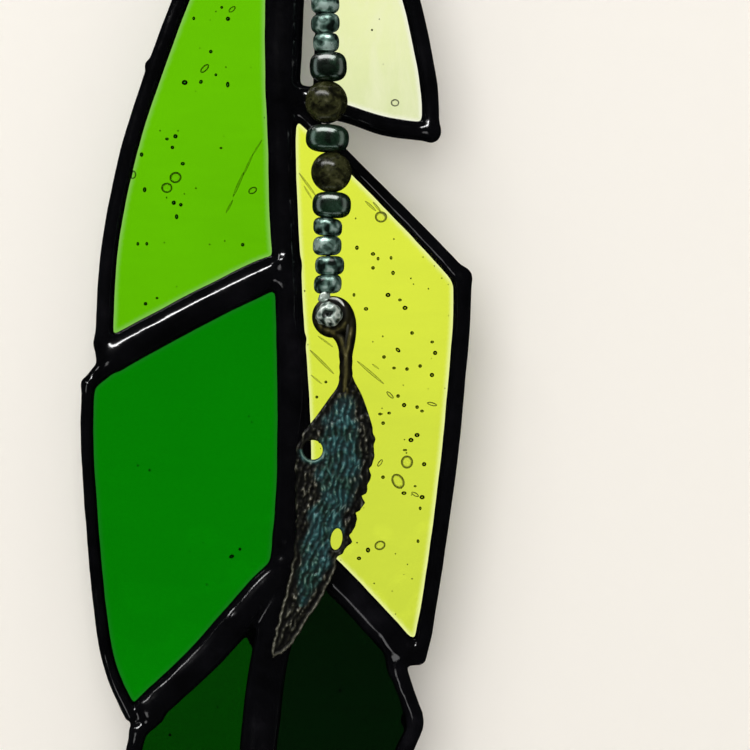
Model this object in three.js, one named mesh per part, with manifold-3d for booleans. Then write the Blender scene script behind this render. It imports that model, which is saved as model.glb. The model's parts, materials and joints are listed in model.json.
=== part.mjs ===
// A stained-glass feather suncatcher: six panes of art glass held in a fused solder frame,
// a wire hanging ring in the top of the quill, and a strand of beads with a metal feather
// charm hanging in front of it.
// Millimetres, +Z up. The feather lies in the XZ plane with its middle at y = 0 and its front
// towards -Y. The origin is where the ring hangs on a hook: the inside of the ring, at its top.
import * as THREE from "three";
import { mergeVertices } from "three/addons/utils/BufferGeometryUtils.js";
import Module from "manifold-3d";

const wasm = await Module();
wasm.setup();

// ---------------------------------------------------------------- driving dimensions
const GLASS_T = 3.0; // thickness of the art glass
const GAP = 0.25; // play between glass and frame, and between ring and quill
const RIB_HALF = 2.7; // half thickness of the rachis and the wide seams
const EDGE_HALF = 2.4; // half thickness of the solder along the outer edges
const RIB_BEVEL = 0.5;
const EDGE_BEVEL = 0.4;
const LAP_RIB = 0.9; // glass edge to the middle line of the rachis
const LAP_SEAM = 1.2; // glass edge to the middle line of a wide seam
const LAP_EDGE = 0.35; // glass edge to the middle line of an edge bead

const RING_R = 4.8; // hanging ring, middle of the wire
const RING_WIRE = 0.8;
const RING_Z = -(RING_R - RING_WIRE); // ring centre, so that its inside top is at z = 0

const WIRE_R = 0.3; // bead wire
const BORE_R = 0.75; // bore of every bead
const STRAND_Y = -6.0; // depth of the strand in front of the glass

const SEED_R = 1.96;
const SEED_H = 2.4;
const SEED_PITCH = 2.66;
const HIDDEN_SEEDS = 18; // seed beads between the ring and the first group of larger beads

const CHARM_HALF = 0.8; // half thickness of the charm
const LOOP_R = 2.35; // loop of the charm, middle of its rod
const LOOP_ROD = 0.75;
const LOOP = [4.29, -105.2];

// Middle lines of the solder: [x, z, half width].
const RACHIS = [[-0.2, -8.9, 1.9], [-0.7, -18.3, 1.9], [-1.7, -32.3, 2.4], [-2.3, -46.3, 2.6], [-2.7, -60.3, 2.7], [-3, -72.2, 2.4], [-3.1, -79.9, 1.95],
  [-2.8, -91.1, 1.95], [-2.1, -102.3, 1.85], [-1.4, -119.1, 2.3], [-1.5, -130.3, 2.45], [-2.7, -142.9, 2.6], [-5, -153.4, 2.6], [-6.2, -163.2, 2.6],
  [-7.4, -176.5, 2.25], [-8.5, -187.7, 1.8], [-9.1, -195.2, 1.4], [-9.3, -199, 1.0]];
const EDGE_UPPER_LEFT = [[-2.2, -31.2, 1.1], [-5.9, -37, 1.06], [-10.9, -46.3, 1.04], [-15.1, -55, 1.02], [-19.9, -67.3, 1.04], [-24.5, -81.3, 1.04], [-27.3, -95.3, 1.04], [-28.1, -108.3, 1.15]];
const SEAM_UPPER_LEFT = [[-2.1, -97.2, 1.6], [-4.8, -98.6, 2.3], [-11.8, -102, 2.35], [-20.2, -106.3, 2.35], [-26.6, -109.7, 2.2]];
const CORNER_MIDDLE_LEFT = [[-26, -111, 0.9], [-30, -114, 0.85]];
const EDGE_MIDDLE_LEFT = [[-30.2, -114.1, 0.8], [-30.4, -120.5, 0.75], [-29.9, -130.3, 0.75], [-28.7, -144.3, 0.75], [-27.7, -151.3, 0.77], [-26.4, -155.6, 0.8], [-24.2, -160.2, 0.91]];
const SEAM_LOWER_LEFT = [[-2, -141.5, 1.9], [-8.3, -146.8, 2.25], [-14.6, -153, 2.25], [-21.6, -159.4, 2.15]];
const CORNER_LOWER_LEFT = [[-20.6, -160.5, 1.0], [-23.2, -162.6, 1.04]];
const EDGE_LOWER_LEFT = [[-23.2, -162.6, 1.04], [-23.9, -166.2, 1.04], [-23.9, -171.6, 1.01], [-22.4, -179.3, 1.01], [-19.2, -187, 0.98], [-14.3, -194, 0.98], [-9.4, -198.5, 0.91]];
const EDGE_PALE_INNER = [[2.6, -75.9, 1.15], [2.5, -71.2, 1.12], [2.7, -65.6, 1.12], [2.9, -57.5, 1.12], [2.5, -47.7, 1.12], [1.3, -39.3, 1.12], [-1.1, -31.3, 1.12]];
const EDGE_PALE_OUTER = [[-1.1, -30.6, 1.12], [4.1, -36.2, 1.12], [8.4, -42.9, 1.12], [12, -50.5, 1.12], [15.1, -60.3, 1.12], [16.7, -67.3, 1.12], [17.6, -72.9, 1.12], [17.8, -78.8, 1.16]];
const EDGE_PALE_FOOT = [[-2.2, -72.9, 1.6], [2.2, -75.2, 1.26], [6.3, -76.4, 1.12], [11.3, -78, 1.18], [17.8, -78.9, 1.16]];
const EDGE_YELLOW_TOP = [[-2.8, -73.7, 1.3], [1.1, -77.7, 1.01], [11.7, -88.2, 0.98], [18.6, -95.1, 1.01], [22.1, -99.2, 1.1]];
const EDGE_YELLOW_OUTER = [[22.1, -99.2, 1.12], [22, -105.8, 1.12], [21.4, -113.5, 1.12], [20.5, -123.3, 1.12], [18.7, -137.3, 1.01], [16.8, -149.2, 1.01], [16, -152.1, 1.12]];
const SEAM_RIGHT = [[-2, -135.2, 2.17], [5.3, -142.2, 2.1], [11.3, -148.6, 2.1], [14, -151.4, 2.03]];
const CORNER_LOWER_RIGHT = [[12.2, -150.8, 1.2], [13, -154.2, 1.12]];
const EDGE_LOWER_RIGHT = [[13, -153.8, 1.12], [14.7, -158.3, 1.12], [15.6, -161.4, 1.12], [14, -165.4, 1.12], [10.1, -172.3, 1.12], [5, -179.6, 1.06], [-1, -187.7, 1.04], [-5.9, -194.3, 0.98], [-9.2, -198.5, 0.91]];

// ---------------------------------------------------------------- helpers
const finish = (color, roughness, metalness = 0, opacity = 1) =>
  new THREE.MeshStandardMaterial({ color, roughness, metalness, opacity, transparent: opacity < 1 });

// A smooth line through its stations, as {x, z, w}, a step every few millimetres.
function trace(stations, step = 5.5) {
  const line = new THREE.CatmullRomCurve3(stations.map(([x, z, w = 0]) => new THREE.Vector3(x, z, w)), false, "centripetal");
  const n = Math.max(2, Math.round(line.getLength() / step));
  return line.getSpacedPoints(n).map((p) => ({ x: p.x, z: p.y, w: p.z }));
}

function direction(line, i) {
  const a = line[Math.max(0, i - 1)],
    b = line[Math.min(line.length - 1, i + 1)];
  const l = Math.hypot(b.x - a.x, b.z - a.z);
  return [(b.x - a.x) / l, (b.z - a.z) / l];
}

// The outline of a band of solder: both sides of its middle line, with round ends.
function bandOutline(stations, step) {
  const line = trace(stations, step);
  const right = [],
    left = [];
  line.forEach((p, i) => {
    const [dx, dz] = direction(line, i);
    right.push(new THREE.Vector2(p.x + dz * p.w, p.z - dx * p.w));
    left.push(new THREE.Vector2(p.x - dz * p.w, p.z + dx * p.w));
  });
  const cap = (i) => {
    const [dx, dz] = direction(line, i),
      p = line[i],
      s = i ? 1 : -1;
    const points = [];
    for (let k = 1; k < 4; k++) {
      const a = (k * Math.PI) / 4;
      points.push(new THREE.Vector2(
        p.x + s * p.w * (dz * Math.cos(a) + dx * Math.sin(a)),
        p.z + s * p.w * (-dx * Math.cos(a) + dz * Math.sin(a)),
      ));
    }
    return points;
  };
  return [...right, ...cap(line.length - 1), ...left.reverse(), ...cap(0)];
}

// A flat outline in the XZ plane, given thickness along Y about y = mid.
function plate(outline, half, bevel = 0, mid = 0, holes = [], bevelWide = bevel) {
  const shape = new THREE.Shape(outline);
  shape.holes = holes.map((h) => new THREE.Path(h));
  const g = new THREE.ExtrudeGeometry(shape, {
    depth: 2 * (half - bevel),
    steps: 1,
    bevelEnabled: bevel > 0,
    bevelThickness: bevel,
    bevelSize: bevelWide,
    bevelOffset: -bevelWide,
    bevelSegments: 1,
  });
  return g.translate(0, 0, -(half - bevel)).rotateX(Math.PI / 2).translate(0, mid, 0);
}

// A round rod along a smooth path, with the same number of steps between each pair of points,
// so that the tight eyes get short steps and the long runs get long ones.
function tube(points, radius, perSpan, sides = 8) {
  const path = new THREE.CatmullRomCurve3(points, false, "centripetal");
  path.getUtoTmapping = (u) => u;
  const steps = perSpan * (points.length - 1);
  const ring = [];
  for (let i = 0; i < sides; i++) {
    const a = (2 * Math.PI * i) / sides;
    ring.push(new THREE.Vector2(radius * Math.cos(a), radius * Math.sin(a)));
  }
  return new THREE.ExtrudeGeometry(new THREE.Shape(ring), { steps, bevelEnabled: false, extrudePath: path });
}

function bare(geometry) {
  const g = new THREE.BufferGeometry().setAttribute("position", geometry.getAttribute("position").clone());
  if (geometry.index) g.setIndex(geometry.index.clone());
  return mergeVertices(g, 1e-4);
}

function solid(geometry) {
  const g = bare(geometry);
  return new wasm.Manifold(new wasm.Mesh({
    numProp: 3,
    vertProperties: new Float32Array(g.getAttribute("position").array),
    triVerts: new Uint32Array(g.index.array),
  }));
}

function geometryOf(manifold) {
  const m = manifold.getMesh();
  const g = new THREE.BufferGeometry();
  g.setAttribute("position", new THREE.BufferAttribute(new Float32Array(m.vertProperties), 3));
  g.setIndex(new THREE.BufferAttribute(new Uint32Array(m.triVerts), 1));
  g.computeVertexNormals();
  return g;
}

const join = (list) => list.map(solid).reduce((a, b) => a.add(b));

// ---------------------------------------------------------------- outlines of the glass
// One side of a pane: a solder middle line, moved towards the pane, which lies on the left of
// the direction of travel. With play it moves back out and runs on a little at both ends.
function side(stations, lap, play, reversed = false) {
  let line = trace(stations);
  if (reversed) line = line.reverse();
  return line.map((p, i) => {
    const [dx, dz] = direction(line, i);
    const on = i === 0 ? -play : i === line.length - 1 ? play : 0;
    return [p.x - dz * (lap - play) + dx * on, p.z + dx * (lap - play) + dz * on];
  });
}

function crossing(a, b, c, d) {
  const r = [b[0] - a[0], b[1] - a[1]],
    s = [d[0] - c[0], d[1] - c[1]],
    q = [c[0] - a[0], c[1] - a[1]];
  const den = r[0] * s[1] - r[1] * s[0];
  if (Math.abs(den) < 1e-9) return null;
  const t = (q[0] * s[1] - q[1] * s[0]) / den,
    u = (q[0] * r[1] - q[1] * r[0]) / den;
  return t >= 0 && t <= 1 && u >= 0 && u <= 1 ? [a[0] + t * r[0], a[1] + t * r[1]] : null;
}

// Sides that cross are cut where they meet; sides that stop short are joined by a straight edge.
function pane(sides) {
  const lines = sides.map((s) => s.slice());
  lines.forEach((A, k) => {
    const next = (k + 1) % lines.length,
      B = lines[next];
    let best = null;
    for (let i = A.length - 2; i >= 0; i--)
      for (let j = 0; j < B.length - 1; j++) {
        const hit = crossing(A[i], A[i + 1], B[j], B[j + 1]);
        const cost = A.length - i + j;
        if (hit && (!best || cost < best.cost)) best = { hit, i, j, cost };
      }
    if (!best) return;
    A.splice(best.i + 1, A.length, best.hit);
    B.splice(0, best.j + 1);
  });
  const outline = [];
  for (const [x, z] of lines.flat()) {
    const last = outline.at(-1);
    if (!last || Math.hypot(last.x - x, last.y - z) > 0.25) outline.push(new THREE.Vector2(x, z));
  }
  if (outline[0].distanceTo(outline.at(-1)) < 0.25) outline.pop();
  return outline;
}

const between = (high, low) => RACHIS.flatMap((p, i) => {
  const q = RACHIS[i + 1];
  return p[1] <= high && p[1] >= low ? [p] : q && p[1] > high && q[1] < high ? [mix(p, q, (p[1] - high) / (p[1] - q[1]))] : [];
});
const mix = (p, q, t) => p.map((v, i) => v + t * (q[i] - v));

// Each pane as its outline for a given play: 0 for the glass, GAP for the pocket around it.
const PANES = {
  glass_lime: (g) => pane([
    side(EDGE_UPPER_LEFT, LAP_EDGE, g),
    side(SEAM_UPPER_LEFT, LAP_SEAM, g, true),
    side(between(-28, -104), LAP_RIB, g, true),
  ]),
  glass_green: (g) => pane([
    side(EDGE_MIDDLE_LEFT, LAP_EDGE, g),
    side(SEAM_LOWER_LEFT, LAP_SEAM, g, true),
    side(between(-94, -150), LAP_RIB, g, true),
    side(SEAM_UPPER_LEFT, LAP_SEAM, g),
  ]),
  glass_dark_green: (g) => pane([
    side(EDGE_LOWER_LEFT, LAP_EDGE, g),
    side(between(-138, -205), LAP_RIB, g, true),
    side(SEAM_LOWER_LEFT, LAP_SEAM, g),
  ]),
  glass_pale: (g) => pane([
    side(EDGE_PALE_INNER, LAP_EDGE, g, true),
    side(EDGE_PALE_FOOT, LAP_EDGE, g),
    side(EDGE_PALE_OUTER, LAP_EDGE, g, true),
  ]),
  glass_yellow: (g) => pane([
    side(between(-72, -142), LAP_RIB, g),
    side(SEAM_RIGHT, LAP_SEAM, g),
    side(EDGE_YELLOW_OUTER, LAP_EDGE, g, true),
    side(EDGE_YELLOW_TOP, LAP_EDGE, g, true),
  ]),
  glass_deep_green: (g) => pane([
    side(between(-130, -205), LAP_RIB, g),
    side(EDGE_LOWER_RIGHT, LAP_EDGE, g, true),
    side(SEAM_RIGHT, LAP_SEAM, g, true),
  ]),
};

const GLASS_FINISH = {
  glass_lime: "#5cb900",
  glass_green: "#027a02",
  glass_dark_green: "#023602",
  glass_pale: "#e9efb2",
  glass_yellow: "#d6e63f",
  glass_deep_green: "#021403",
};

// ---------------------------------------------------------------- feather
const suncatcher = new THREE.Group();
const feather = new THREE.Group();
suncatcher.add(feather);

const ribs = [RACHIS, SEAM_UPPER_LEFT, SEAM_LOWER_LEFT, SEAM_RIGHT];
const edges = [EDGE_UPPER_LEFT, CORNER_MIDDLE_LEFT, EDGE_MIDDLE_LEFT, CORNER_LOWER_LEFT, EDGE_LOWER_LEFT, EDGE_PALE_INNER,
  EDGE_PALE_OUTER, EDGE_PALE_FOOT, EDGE_YELLOW_TOP, EDGE_YELLOW_OUTER, CORNER_LOWER_RIGHT, EDGE_LOWER_RIGHT];
let frame = join([
  ...ribs.map((b) => plate(bandOutline(b, 8), RIB_HALF, RIB_BEVEL, 0, [], 0.8)),
  ...edges.map((b) => plate(bandOutline(b, 8), EDGE_HALF, EDGE_BEVEL, 0, [], 0.4)),
]);
for (const outline of Object.values(PANES))
  frame = frame.subtract(solid(plate(outline(GAP), GLASS_T / 2 + GAP)));

const torus = (R, r, sides, around) => new THREE.TorusGeometry(R, r, sides, around).rotateX(Math.PI / 2);
frame = frame.subtract(solid(torus(RING_R, RING_WIRE + GAP, 8, 24).translate(0, 0, RING_Z)));

const add = (group, name, geometry, material) => {
  const mesh = new THREE.Mesh(geometry, material);
  mesh.name = name;
  group.add(mesh);
  return mesh;
};
add(feather, "solder_frame", geometryOf(frame), finish("#060709", 0.25, 0.4));
for (const [name, outline] of Object.entries(PANES))
  add(feather, name, plate(outline(0), GLASS_T / 2), finish(GLASS_FINISH[name], 0.05, 0, 0.6));
add(feather, "hanging_ring", torus(RING_R, RING_WIRE, 8, 24), finish("#17181a", 0.3, 0.8)).position.z = RING_Z;

// ---------------------------------------------------------------- strand
const strand = new THREE.Group();
suncatcher.add(strand);

// Top eye of the wire, round the hanging ring beside the quill.
const EYE_R = 1.5;
const EYE_AT = (52 * Math.PI) / 180;
const eyeMiddle = new THREE.Vector3(RING_R * Math.cos(EYE_AT), 0, RING_Z - RING_R * Math.sin(EYE_AT));
const outward = new THREE.Vector3(Math.cos(EYE_AT), 0, -Math.sin(EYE_AT));
const front = new THREE.Vector3(0, -1, 0);
const eye = [];
for (let t = 370; t >= 60; t -= 31) {
  const a = (t * Math.PI) / 180;
  eye.push(eyeMiddle.clone().addScaledVector(outward, EYE_R * Math.cos(a)).addScaledVector(front, EYE_R * Math.sin(a)));
}

// Lower eye: behind the rod of the charm's loop, through the loop and the end bead, and up in front.
const BAR = [3.46, STRAND_Y, -103.0];
const lowerEye = [[0, -1.25], [-0.75, -1.0], [-1.2, -0.1], [-1.05, 0.75], [-0.3, 1.45], [0.7, 1.55], [2.1, 1.5], [3.4, 1.4], [3.95, 0.75], [3.65, -0.1], [2.95, -0.6], [2.25, -0.95]]
  .map(([u, v]) => new THREE.Vector3(BAR[0] + 0.08 * Math.max(0, u), BAR[1] - u, BAR[2] - v));

const fall = [[3.45, -1.9, -10.4], [3.35, -2.6, -13.4], [3.25, -4.0, -22], [3.15, -5.0, -31], [3.1, -5.6, -45], [3.08, -5.9, -61.6], [3.2, STRAND_Y, -67],
  [3.4, STRAND_Y, -75], [3.5, STRAND_Y, -80], [3.75, STRAND_Y, -85], [3.75, STRAND_Y, -89], [3.55, STRAND_Y, -93], [3.5, STRAND_Y, -97.7], [3.46, STRAND_Y, -100.5]]
  .map((p) => new THREE.Vector3(...p));
add(strand, "bead_wire", tube([...eye, ...fall, ...lowerEye], WIRE_R, 2, 6), finish("#b9bcbd", 0.3, 1));

// Beads: the bore, two flat ends and a rounded belly, turned about the bore.
function bead(radius, height, round, around) {
  const h = height / 2,
    end = BORE_R + (radius - BORE_R) * (round ? 0.22 : 0.5);
  const belly = round
    ? [[0.72, 0.76], [0.97, 0.32], [0.97, -0.32], [0.72, -0.76]]
    : [[1, 0.5], [1, -0.5]];
  const profile = [
    [BORE_R, -h], [end, -h],
    ...belly.reverse().map(([r, z]) => [radius * r, h * z]),
    [end, h], [BORE_R, h], [BORE_R, -h],
  ];
  return new THREE.LatheGeometry(profile.map(([r, z]) => new THREE.Vector2(r, z)), around);
}

const wireLine = new THREE.CatmullRomCurve3(fall, false, "centripetal");
const wirePoints = wireLine.getPoints(600);
function onWire(z) {
  let best = 1;
  for (let i = 1; i < wirePoints.length - 1; i++)
    if (Math.abs(wirePoints[i].z - z) < Math.abs(wirePoints[best].z - z)) best = i;
  return { p: wirePoints[best], t: wirePoints[best - 1].clone().sub(wirePoints[best + 1]).normalize() };
}
function thread(name, geometry, material, x, z, lean = 0) {
  const { p, t } = onWire(z);
  const mesh = add(strand, name, geometry, material);
  mesh.position.set(x ?? p.x, p.y, z);
  mesh.quaternion.setFromUnitVectors(new THREE.Vector3(0, 1, 0), t.applyAxisAngle(new THREE.Vector3(0, 1, 0), lean));
}

const two = (n) => String(n).padStart(2, "0");
const seedFinish = () => finish("#59695f", 0.3, 0.3);
const FIRST_SEEN = -61.64;
let seeds = 0;
for (let k = HIDDEN_SEEDS; k >= 1; k--)
  thread("seed_bead_" + two(++seeds), bead(SEED_R, SEED_H, false, 7), seedFinish(), undefined, FIRST_SEEN + k * SEED_PITCH);
// [kind, x, z, radius, height, lean]
const SEEN = [
  ["seed", 3.08, -61.64, 1.93], ["seed", 3.1, -64.31, 1.96], ["seed", 3.21, -66.96, 1.84],
  ["barrel", 3.5, -70.29, 2.55, 3.7], ["stone", 3.24, -75.15, 3.02, 5.6], ["barrel", 3.38, -80.16, 2.98, 3.5, 0.1],
  ["stone", 3.93, -84.8, 2.9, 5.3], ["barrel", 3.98, -89.35, 2.69, 3.3],
  ["seed", 3.41, -92.38, 2.0, 2.3], ["seed", 3.35, -94.97, 1.98], ["seed", 3.69, -97.69, 2.0], ["seed", 3.43, -100.24, 1.95],
];
const count = { barrel: 0, stone: 0 };
for (const [kind, x, z, r, h = SEED_H, lean = 0] of SEEN) {
  if (kind === "seed") thread("seed_bead_" + two(++seeds), bead(r, h, false, 8), seedFinish(), x, z, lean);
  else
    thread(kind + "_bead_" + ++count[kind], bead(r, h, kind === "stone", 10),
      kind === "stone" ? finish("#2c281c", 0.3) : finish("#1f2c22", 0.15, 0.5), x, z, lean);
}
const last = add(strand, "end_bead", bead(1.65, 2.4, false, 10), finish("#aab5b2", 0.25, 0.6));
last.position.set(BAR[0] + 0.17, STRAND_Y - 2.1, BAR[2] - 1.5); // its bore looks forward

// ---------------------------------------------------------------- charm
const smooth = (stations, n) => new THREE.SplineCurve(stations.map(([x, z]) => new THREE.Vector2(x, z))).getPoints(n);
const oval = (x, z, rx, rz, turn, n = 10) => {
  const points = [];
  for (let i = 0; i < n; i++) {
    const a = (-2 * Math.PI * i) / n,
      u = rx * Math.cos(a),
      v = rz * Math.sin(a);
    points.push(new THREE.Vector2(x + u * Math.cos(turn) - v * Math.sin(turn), z + u * Math.sin(turn) + v * Math.cos(turn)));
  }
  return points;
};
const TIP = [-4.15, -151.9];
const vaneLeft = smooth([[4.98, -113.6], [2.36, -117.5], [-0.54, -121.75], [-0.95, -124.5], [-1.02, -129.6], [-0.95, -134.2], [-1.6, -139.2], [-3.4, -146.6], [-4.3, -150.6], TIP], 15);
const vaneRight = smooth([[7.2, -113.6], [8.85, -116.9], [9.8, -120.7], [9.9, -123.8]], 5);
// Below its shoulder the right side steps in towards the tip, with a nick between the barbs.
const NICKS = [[9.1, -125.7], [8.3, -129.5], [7.3, -131.8], [6.45, -134.9]];
NICKS.forEach(([x, z]) => vaneRight.push(new THREE.Vector2(x + 0.4, z + 0.35), new THREE.Vector2(x, z), new THREE.Vector2(x + 0.25, z - 0.9)));
vaneRight.push(...smooth([[6.1, -136.7], [4.85, -137.95], [4.45, -139.5], [3.05, -142.8], [0.7, -146.5], [-1.9, -150.4], TIP], 8));
const vane = [...vaneLeft, ...vaneRight.reverse().slice(1)];
const holes = [oval(1.39, -123.1, 1.35, 1.35, 0), oval(4.63, -135.4, 0.8, 1.5, -0.15)];
const shaft = smooth([[5.95, -112.4], [5.53, -116.2], [5.15, -122], [4.2, -129], [2.6, -134.4], [-0.3, -143.2], [-3.4, -150.4]], 10)
  .map((p) => new THREE.Vector3(p.x, STRAND_Y - CHARM_HALF + 0.1, p.y));
const charm = join([
  plate(vane, CHARM_HALF, 0.25, STRAND_Y, holes, 0.15),
  plate(bandOutline([[6.35, -106.9, 0.7], [5.95, -109.2, 0.9], [5.95, -114.4, 0.95]], 2.5), 0.75, 0.2, STRAND_Y),
  torus(LOOP_R, LOOP_ROD, 6, 18).translate(LOOP[0], STRAND_Y, LOOP[1]),
  tube(shaft, 0.42, 1, 6),
]);
add(strand, "feather_charm", geometryOf(charm), finish("#33453f", 0.45, 0.7));

export default suncatcher;
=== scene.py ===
import json
import math

import bpy
import numpy as np
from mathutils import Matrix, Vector, geometry, noise

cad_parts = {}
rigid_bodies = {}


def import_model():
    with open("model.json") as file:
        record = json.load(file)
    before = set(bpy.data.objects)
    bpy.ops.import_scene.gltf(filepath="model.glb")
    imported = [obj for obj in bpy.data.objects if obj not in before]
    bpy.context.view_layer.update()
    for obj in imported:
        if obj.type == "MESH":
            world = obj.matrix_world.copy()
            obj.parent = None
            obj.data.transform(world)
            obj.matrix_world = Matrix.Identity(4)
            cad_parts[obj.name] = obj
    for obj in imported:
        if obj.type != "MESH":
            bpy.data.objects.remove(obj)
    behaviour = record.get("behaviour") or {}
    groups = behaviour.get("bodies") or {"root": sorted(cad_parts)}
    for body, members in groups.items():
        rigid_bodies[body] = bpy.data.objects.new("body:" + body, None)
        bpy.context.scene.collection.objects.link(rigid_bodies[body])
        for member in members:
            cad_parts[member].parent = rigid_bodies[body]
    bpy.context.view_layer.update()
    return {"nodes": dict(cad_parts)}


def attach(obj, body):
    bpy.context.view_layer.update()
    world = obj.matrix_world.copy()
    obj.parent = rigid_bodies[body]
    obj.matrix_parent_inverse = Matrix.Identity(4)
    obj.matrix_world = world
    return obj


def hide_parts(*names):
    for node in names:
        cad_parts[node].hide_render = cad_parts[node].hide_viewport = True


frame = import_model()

MM = 0.001
scene = bpy.context.scene

# ---------------------------------------------------------------- solder middle lines, [x, z, half width] in mm
RACHIS = [[-0.2, -8.9, 1.9], [-0.7, -18.3, 1.9], [-1.7, -32.3, 2.4], [-2.3, -46.3, 2.6], [-2.7, -60.3, 2.7], [-3, -72.2, 2.4], [-3.1, -79.9, 1.95],
          [-2.78, -91.1, 2.0], [-2.1, -102.3, 1.9], [-1.4, -119.1, 2.3], [-1.5, -130.3, 2.45], [-2.7, -142.9, 2.6], [-5, -153.4, 2.6], [-6.2, -163.2, 2.6],
          [-7.4, -176.5, 2.25], [-8.5, -187.7, 1.8], [-9.1, -195.2, 1.4], [-9.3, -199, 1.0]]
SEAMS = [
    [[-2.1, -97.2, 1.6], [-4.8, -98.6, 2.3], [-11.8, -102, 2.35], [-20.2, -106.4, 2.38], [-26.6, -109.9, 2.45]],
    [[-2.2, -139.6, 2.1], [-4.6, -141.9, 2.3], [-8.5, -146.2, 2.35], [-14.6, -152.9, 2.22], [-21.6, -159.4, 2.1]],
    [[-2, -135.2, 2.17], [5.3, -142.2, 2.1], [11.3, -148.6, 2.1], [14, -151.4, 2.03]],
]
EDGES = [
    [[-2.2, -31.2, 1.15], [-5.83, -37, 1.14], [-10.83, -46.3, 1.12], [-15.03, -55, 1.1], [-19.83, -67.3, 1.12], [-24.43, -81.3, 1.12], [-27.2, -95.3, 1.12], [-28.0, -108.3, 1.2]],
    [[-26.3, -110.6, 1.3], [-28.5, -112.5, 1.15], [-30, -114, 0.9]],
    [[-30.15, -114.1, 0.86], [-30.35, -120.5, 0.83], [-29.85, -130.3, 0.83], [-28.65, -144.3, 0.82], [-27.65, -151.3, 0.83], [-26.35, -155.6, 0.86], [-24.15, -160.2, 0.95]],
    [[-20.6, -160.5, 1.05], [-23.2, -162.6, 1.08]],
    [[-23.15, -162.6, 1.08], [-23.85, -166.2, 1.1], [-23.85, -171.6, 1.08], [-22.35, -179.3, 1.08], [-19.15, -187, 1.05], [-14.25, -194, 1.04], [-9.4, -198.5, 0.95]],
    [[2.6, -75.9, 1.2], [2.5, -71.2, 1.18], [2.7, -65.6, 1.18], [2.9, -57.5, 1.18], [2.5, -47.7, 1.18], [1.3, -39.3, 1.18], [-1.1, -31.3, 1.18]],
    [[-1.1, -30.6, 1.18], [4.05, -36.2, 1.2], [8.35, -42.9, 1.2], [11.95, -50.5, 1.2], [15.0, -60.3, 1.2], [16.58, -67.3, 1.2], [17.52, -72.9, 1.2], [17.78, -78.8, 1.2]],
    [[-2.2, -72.9, 1.6], [2.2, -75.15, 1.3], [6.3, -76.35, 1.18], [11.3, -77.95, 1.24], [17.8, -78.85, 1.2]],
    [[-2.8, -73.7, 1.3], [1.1, -77.75, 1.04], [11.65, -88.35, 1.0], [17.1, -93.95, 1.1], [20.4, -97.45, 1.16], [22.1, -99.4, 1.2]],
    [[22.18, -99.4, 1.26], [22.02, -105.8, 1.2], [21.38, -113.5, 1.18], [20.45, -123.3, 1.18], [18.64, -137.3, 1.08], [16.72, -149.2, 1.1], [15.95, -152.1, 1.16]],
    [[12.2, -150.8, 1.2], [13, -154.2, 1.12]],
    [[13, -153.8, 1.15], [14.65, -158.3, 1.16], [15.55, -161.4, 1.16], [13.95, -165.4, 1.16], [10.05, -172.3, 1.16], [4.95, -179.6, 1.1], [-1.05, -187.7, 1.08], [-5.95, -194.3, 1.0], [-9.2, -198.5, 0.93]],
]
# Lumps where the solder was touched up or where two runs meet: x, z, depth (front negative), radius.
LUMPS = [
    [-28.05, -108.4, -0.7, 1.25], [-27.4, -110.5, -0.5, 1.35], [-27.5, -110.6, 0.5, 1.3], [-2.9, -97.1, -1.6, 1.35], [-3.3, -99.5, -1.3, 1.25],
    [-0.75, -107.7, -1.0, 1.1], [-1.2, -137.8, -1.4, 1.4], [-22.6, -161.2, -0.4, 1.45], [-22.0, -160.0, 0.5, 1.4],
    [0.6, -73.6, -1.0, 1.15], [1.7, -74.4, -1.1, 1.1], [17.6, -78.5, -0.5, 1.2], [22.1, -98.9, -0.4, 1.2], [15.0, -151.8, -0.4, 1.5],
    [-30.1, -114.2, -0.2, 0.9], [-21.42, -69.5, -0.2, 0.86], [-9.2, -197.6, 0.0, 1.5], [-1.5, -31.0, -0.8, 1.5], [-0.3, -9.6, -0.4, 1.9],
    [14.6, -161.0, -0.3, 1.1], [13.2, -154.0, -0.3, 1.15], [-2.95, -138.9, -1.9, 0.85], [-5.9, -147.8, 0.0, 1.6], [-6.6, -149.5, 0.0, 1.3],
]
# Places where the solder is wrinkled from being touched up: x, z, reach.
WRINKLED = [[-27.6, -109.6, 3.4], [-3.0, -98.4, 3.2], [-1.0, -107.2, 2.4], [-22.4, -160.8, 4.2], [13.0, -151.6, 4.6], [14.6, -161.0, 4.0], [-2.2, -139.6, 3.2], [1.2, -74.4, 2.8], [-1.5, -31.0, 3.0],
            [17.4, -78.4, 2.0], [21.8, -99.0, 2.0], [-9.2, -197.0, 3.0], [-8.5, -146.8, 2.4]]


# ---------------------------------------------------------------- curves and meshes
def through(points, n):
    """A smooth line through its points, n steps for each span (centripetal Catmull-Rom)."""
    P = np.asarray(points, float)
    Q = np.vstack([2 * P[0] - P[1], P, 2 * P[-1] - P[-2]])
    u = np.linspace(0, 1, n, endpoint=False)[:, None]
    out = []
    for i in range(1, len(Q) - 2):
        p0, p1, p2, p3 = Q[i - 1:i + 3]
        a, b, c = [max(np.linalg.norm(d), 1e-6) ** 0.5 for d in (p1 - p0, p2 - p1, p3 - p2)]
        m1 = ((p1 - p0) / a - (p2 - p0) / (a + b) + (p2 - p1) / b) * b
        m2 = ((p2 - p1) / b - (p3 - p1) / (b + c) + (p3 - p2) / c) * b
        out.append((2 * u**3 - 3 * u**2 + 1) * p1 + (u**3 - 2 * u**2 + u) * m1 + (3 * u**2 - 2 * u**3) * p2 + (u**3 - u**2) * m2)
    return np.vstack([*out, P[-1:]])


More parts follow.
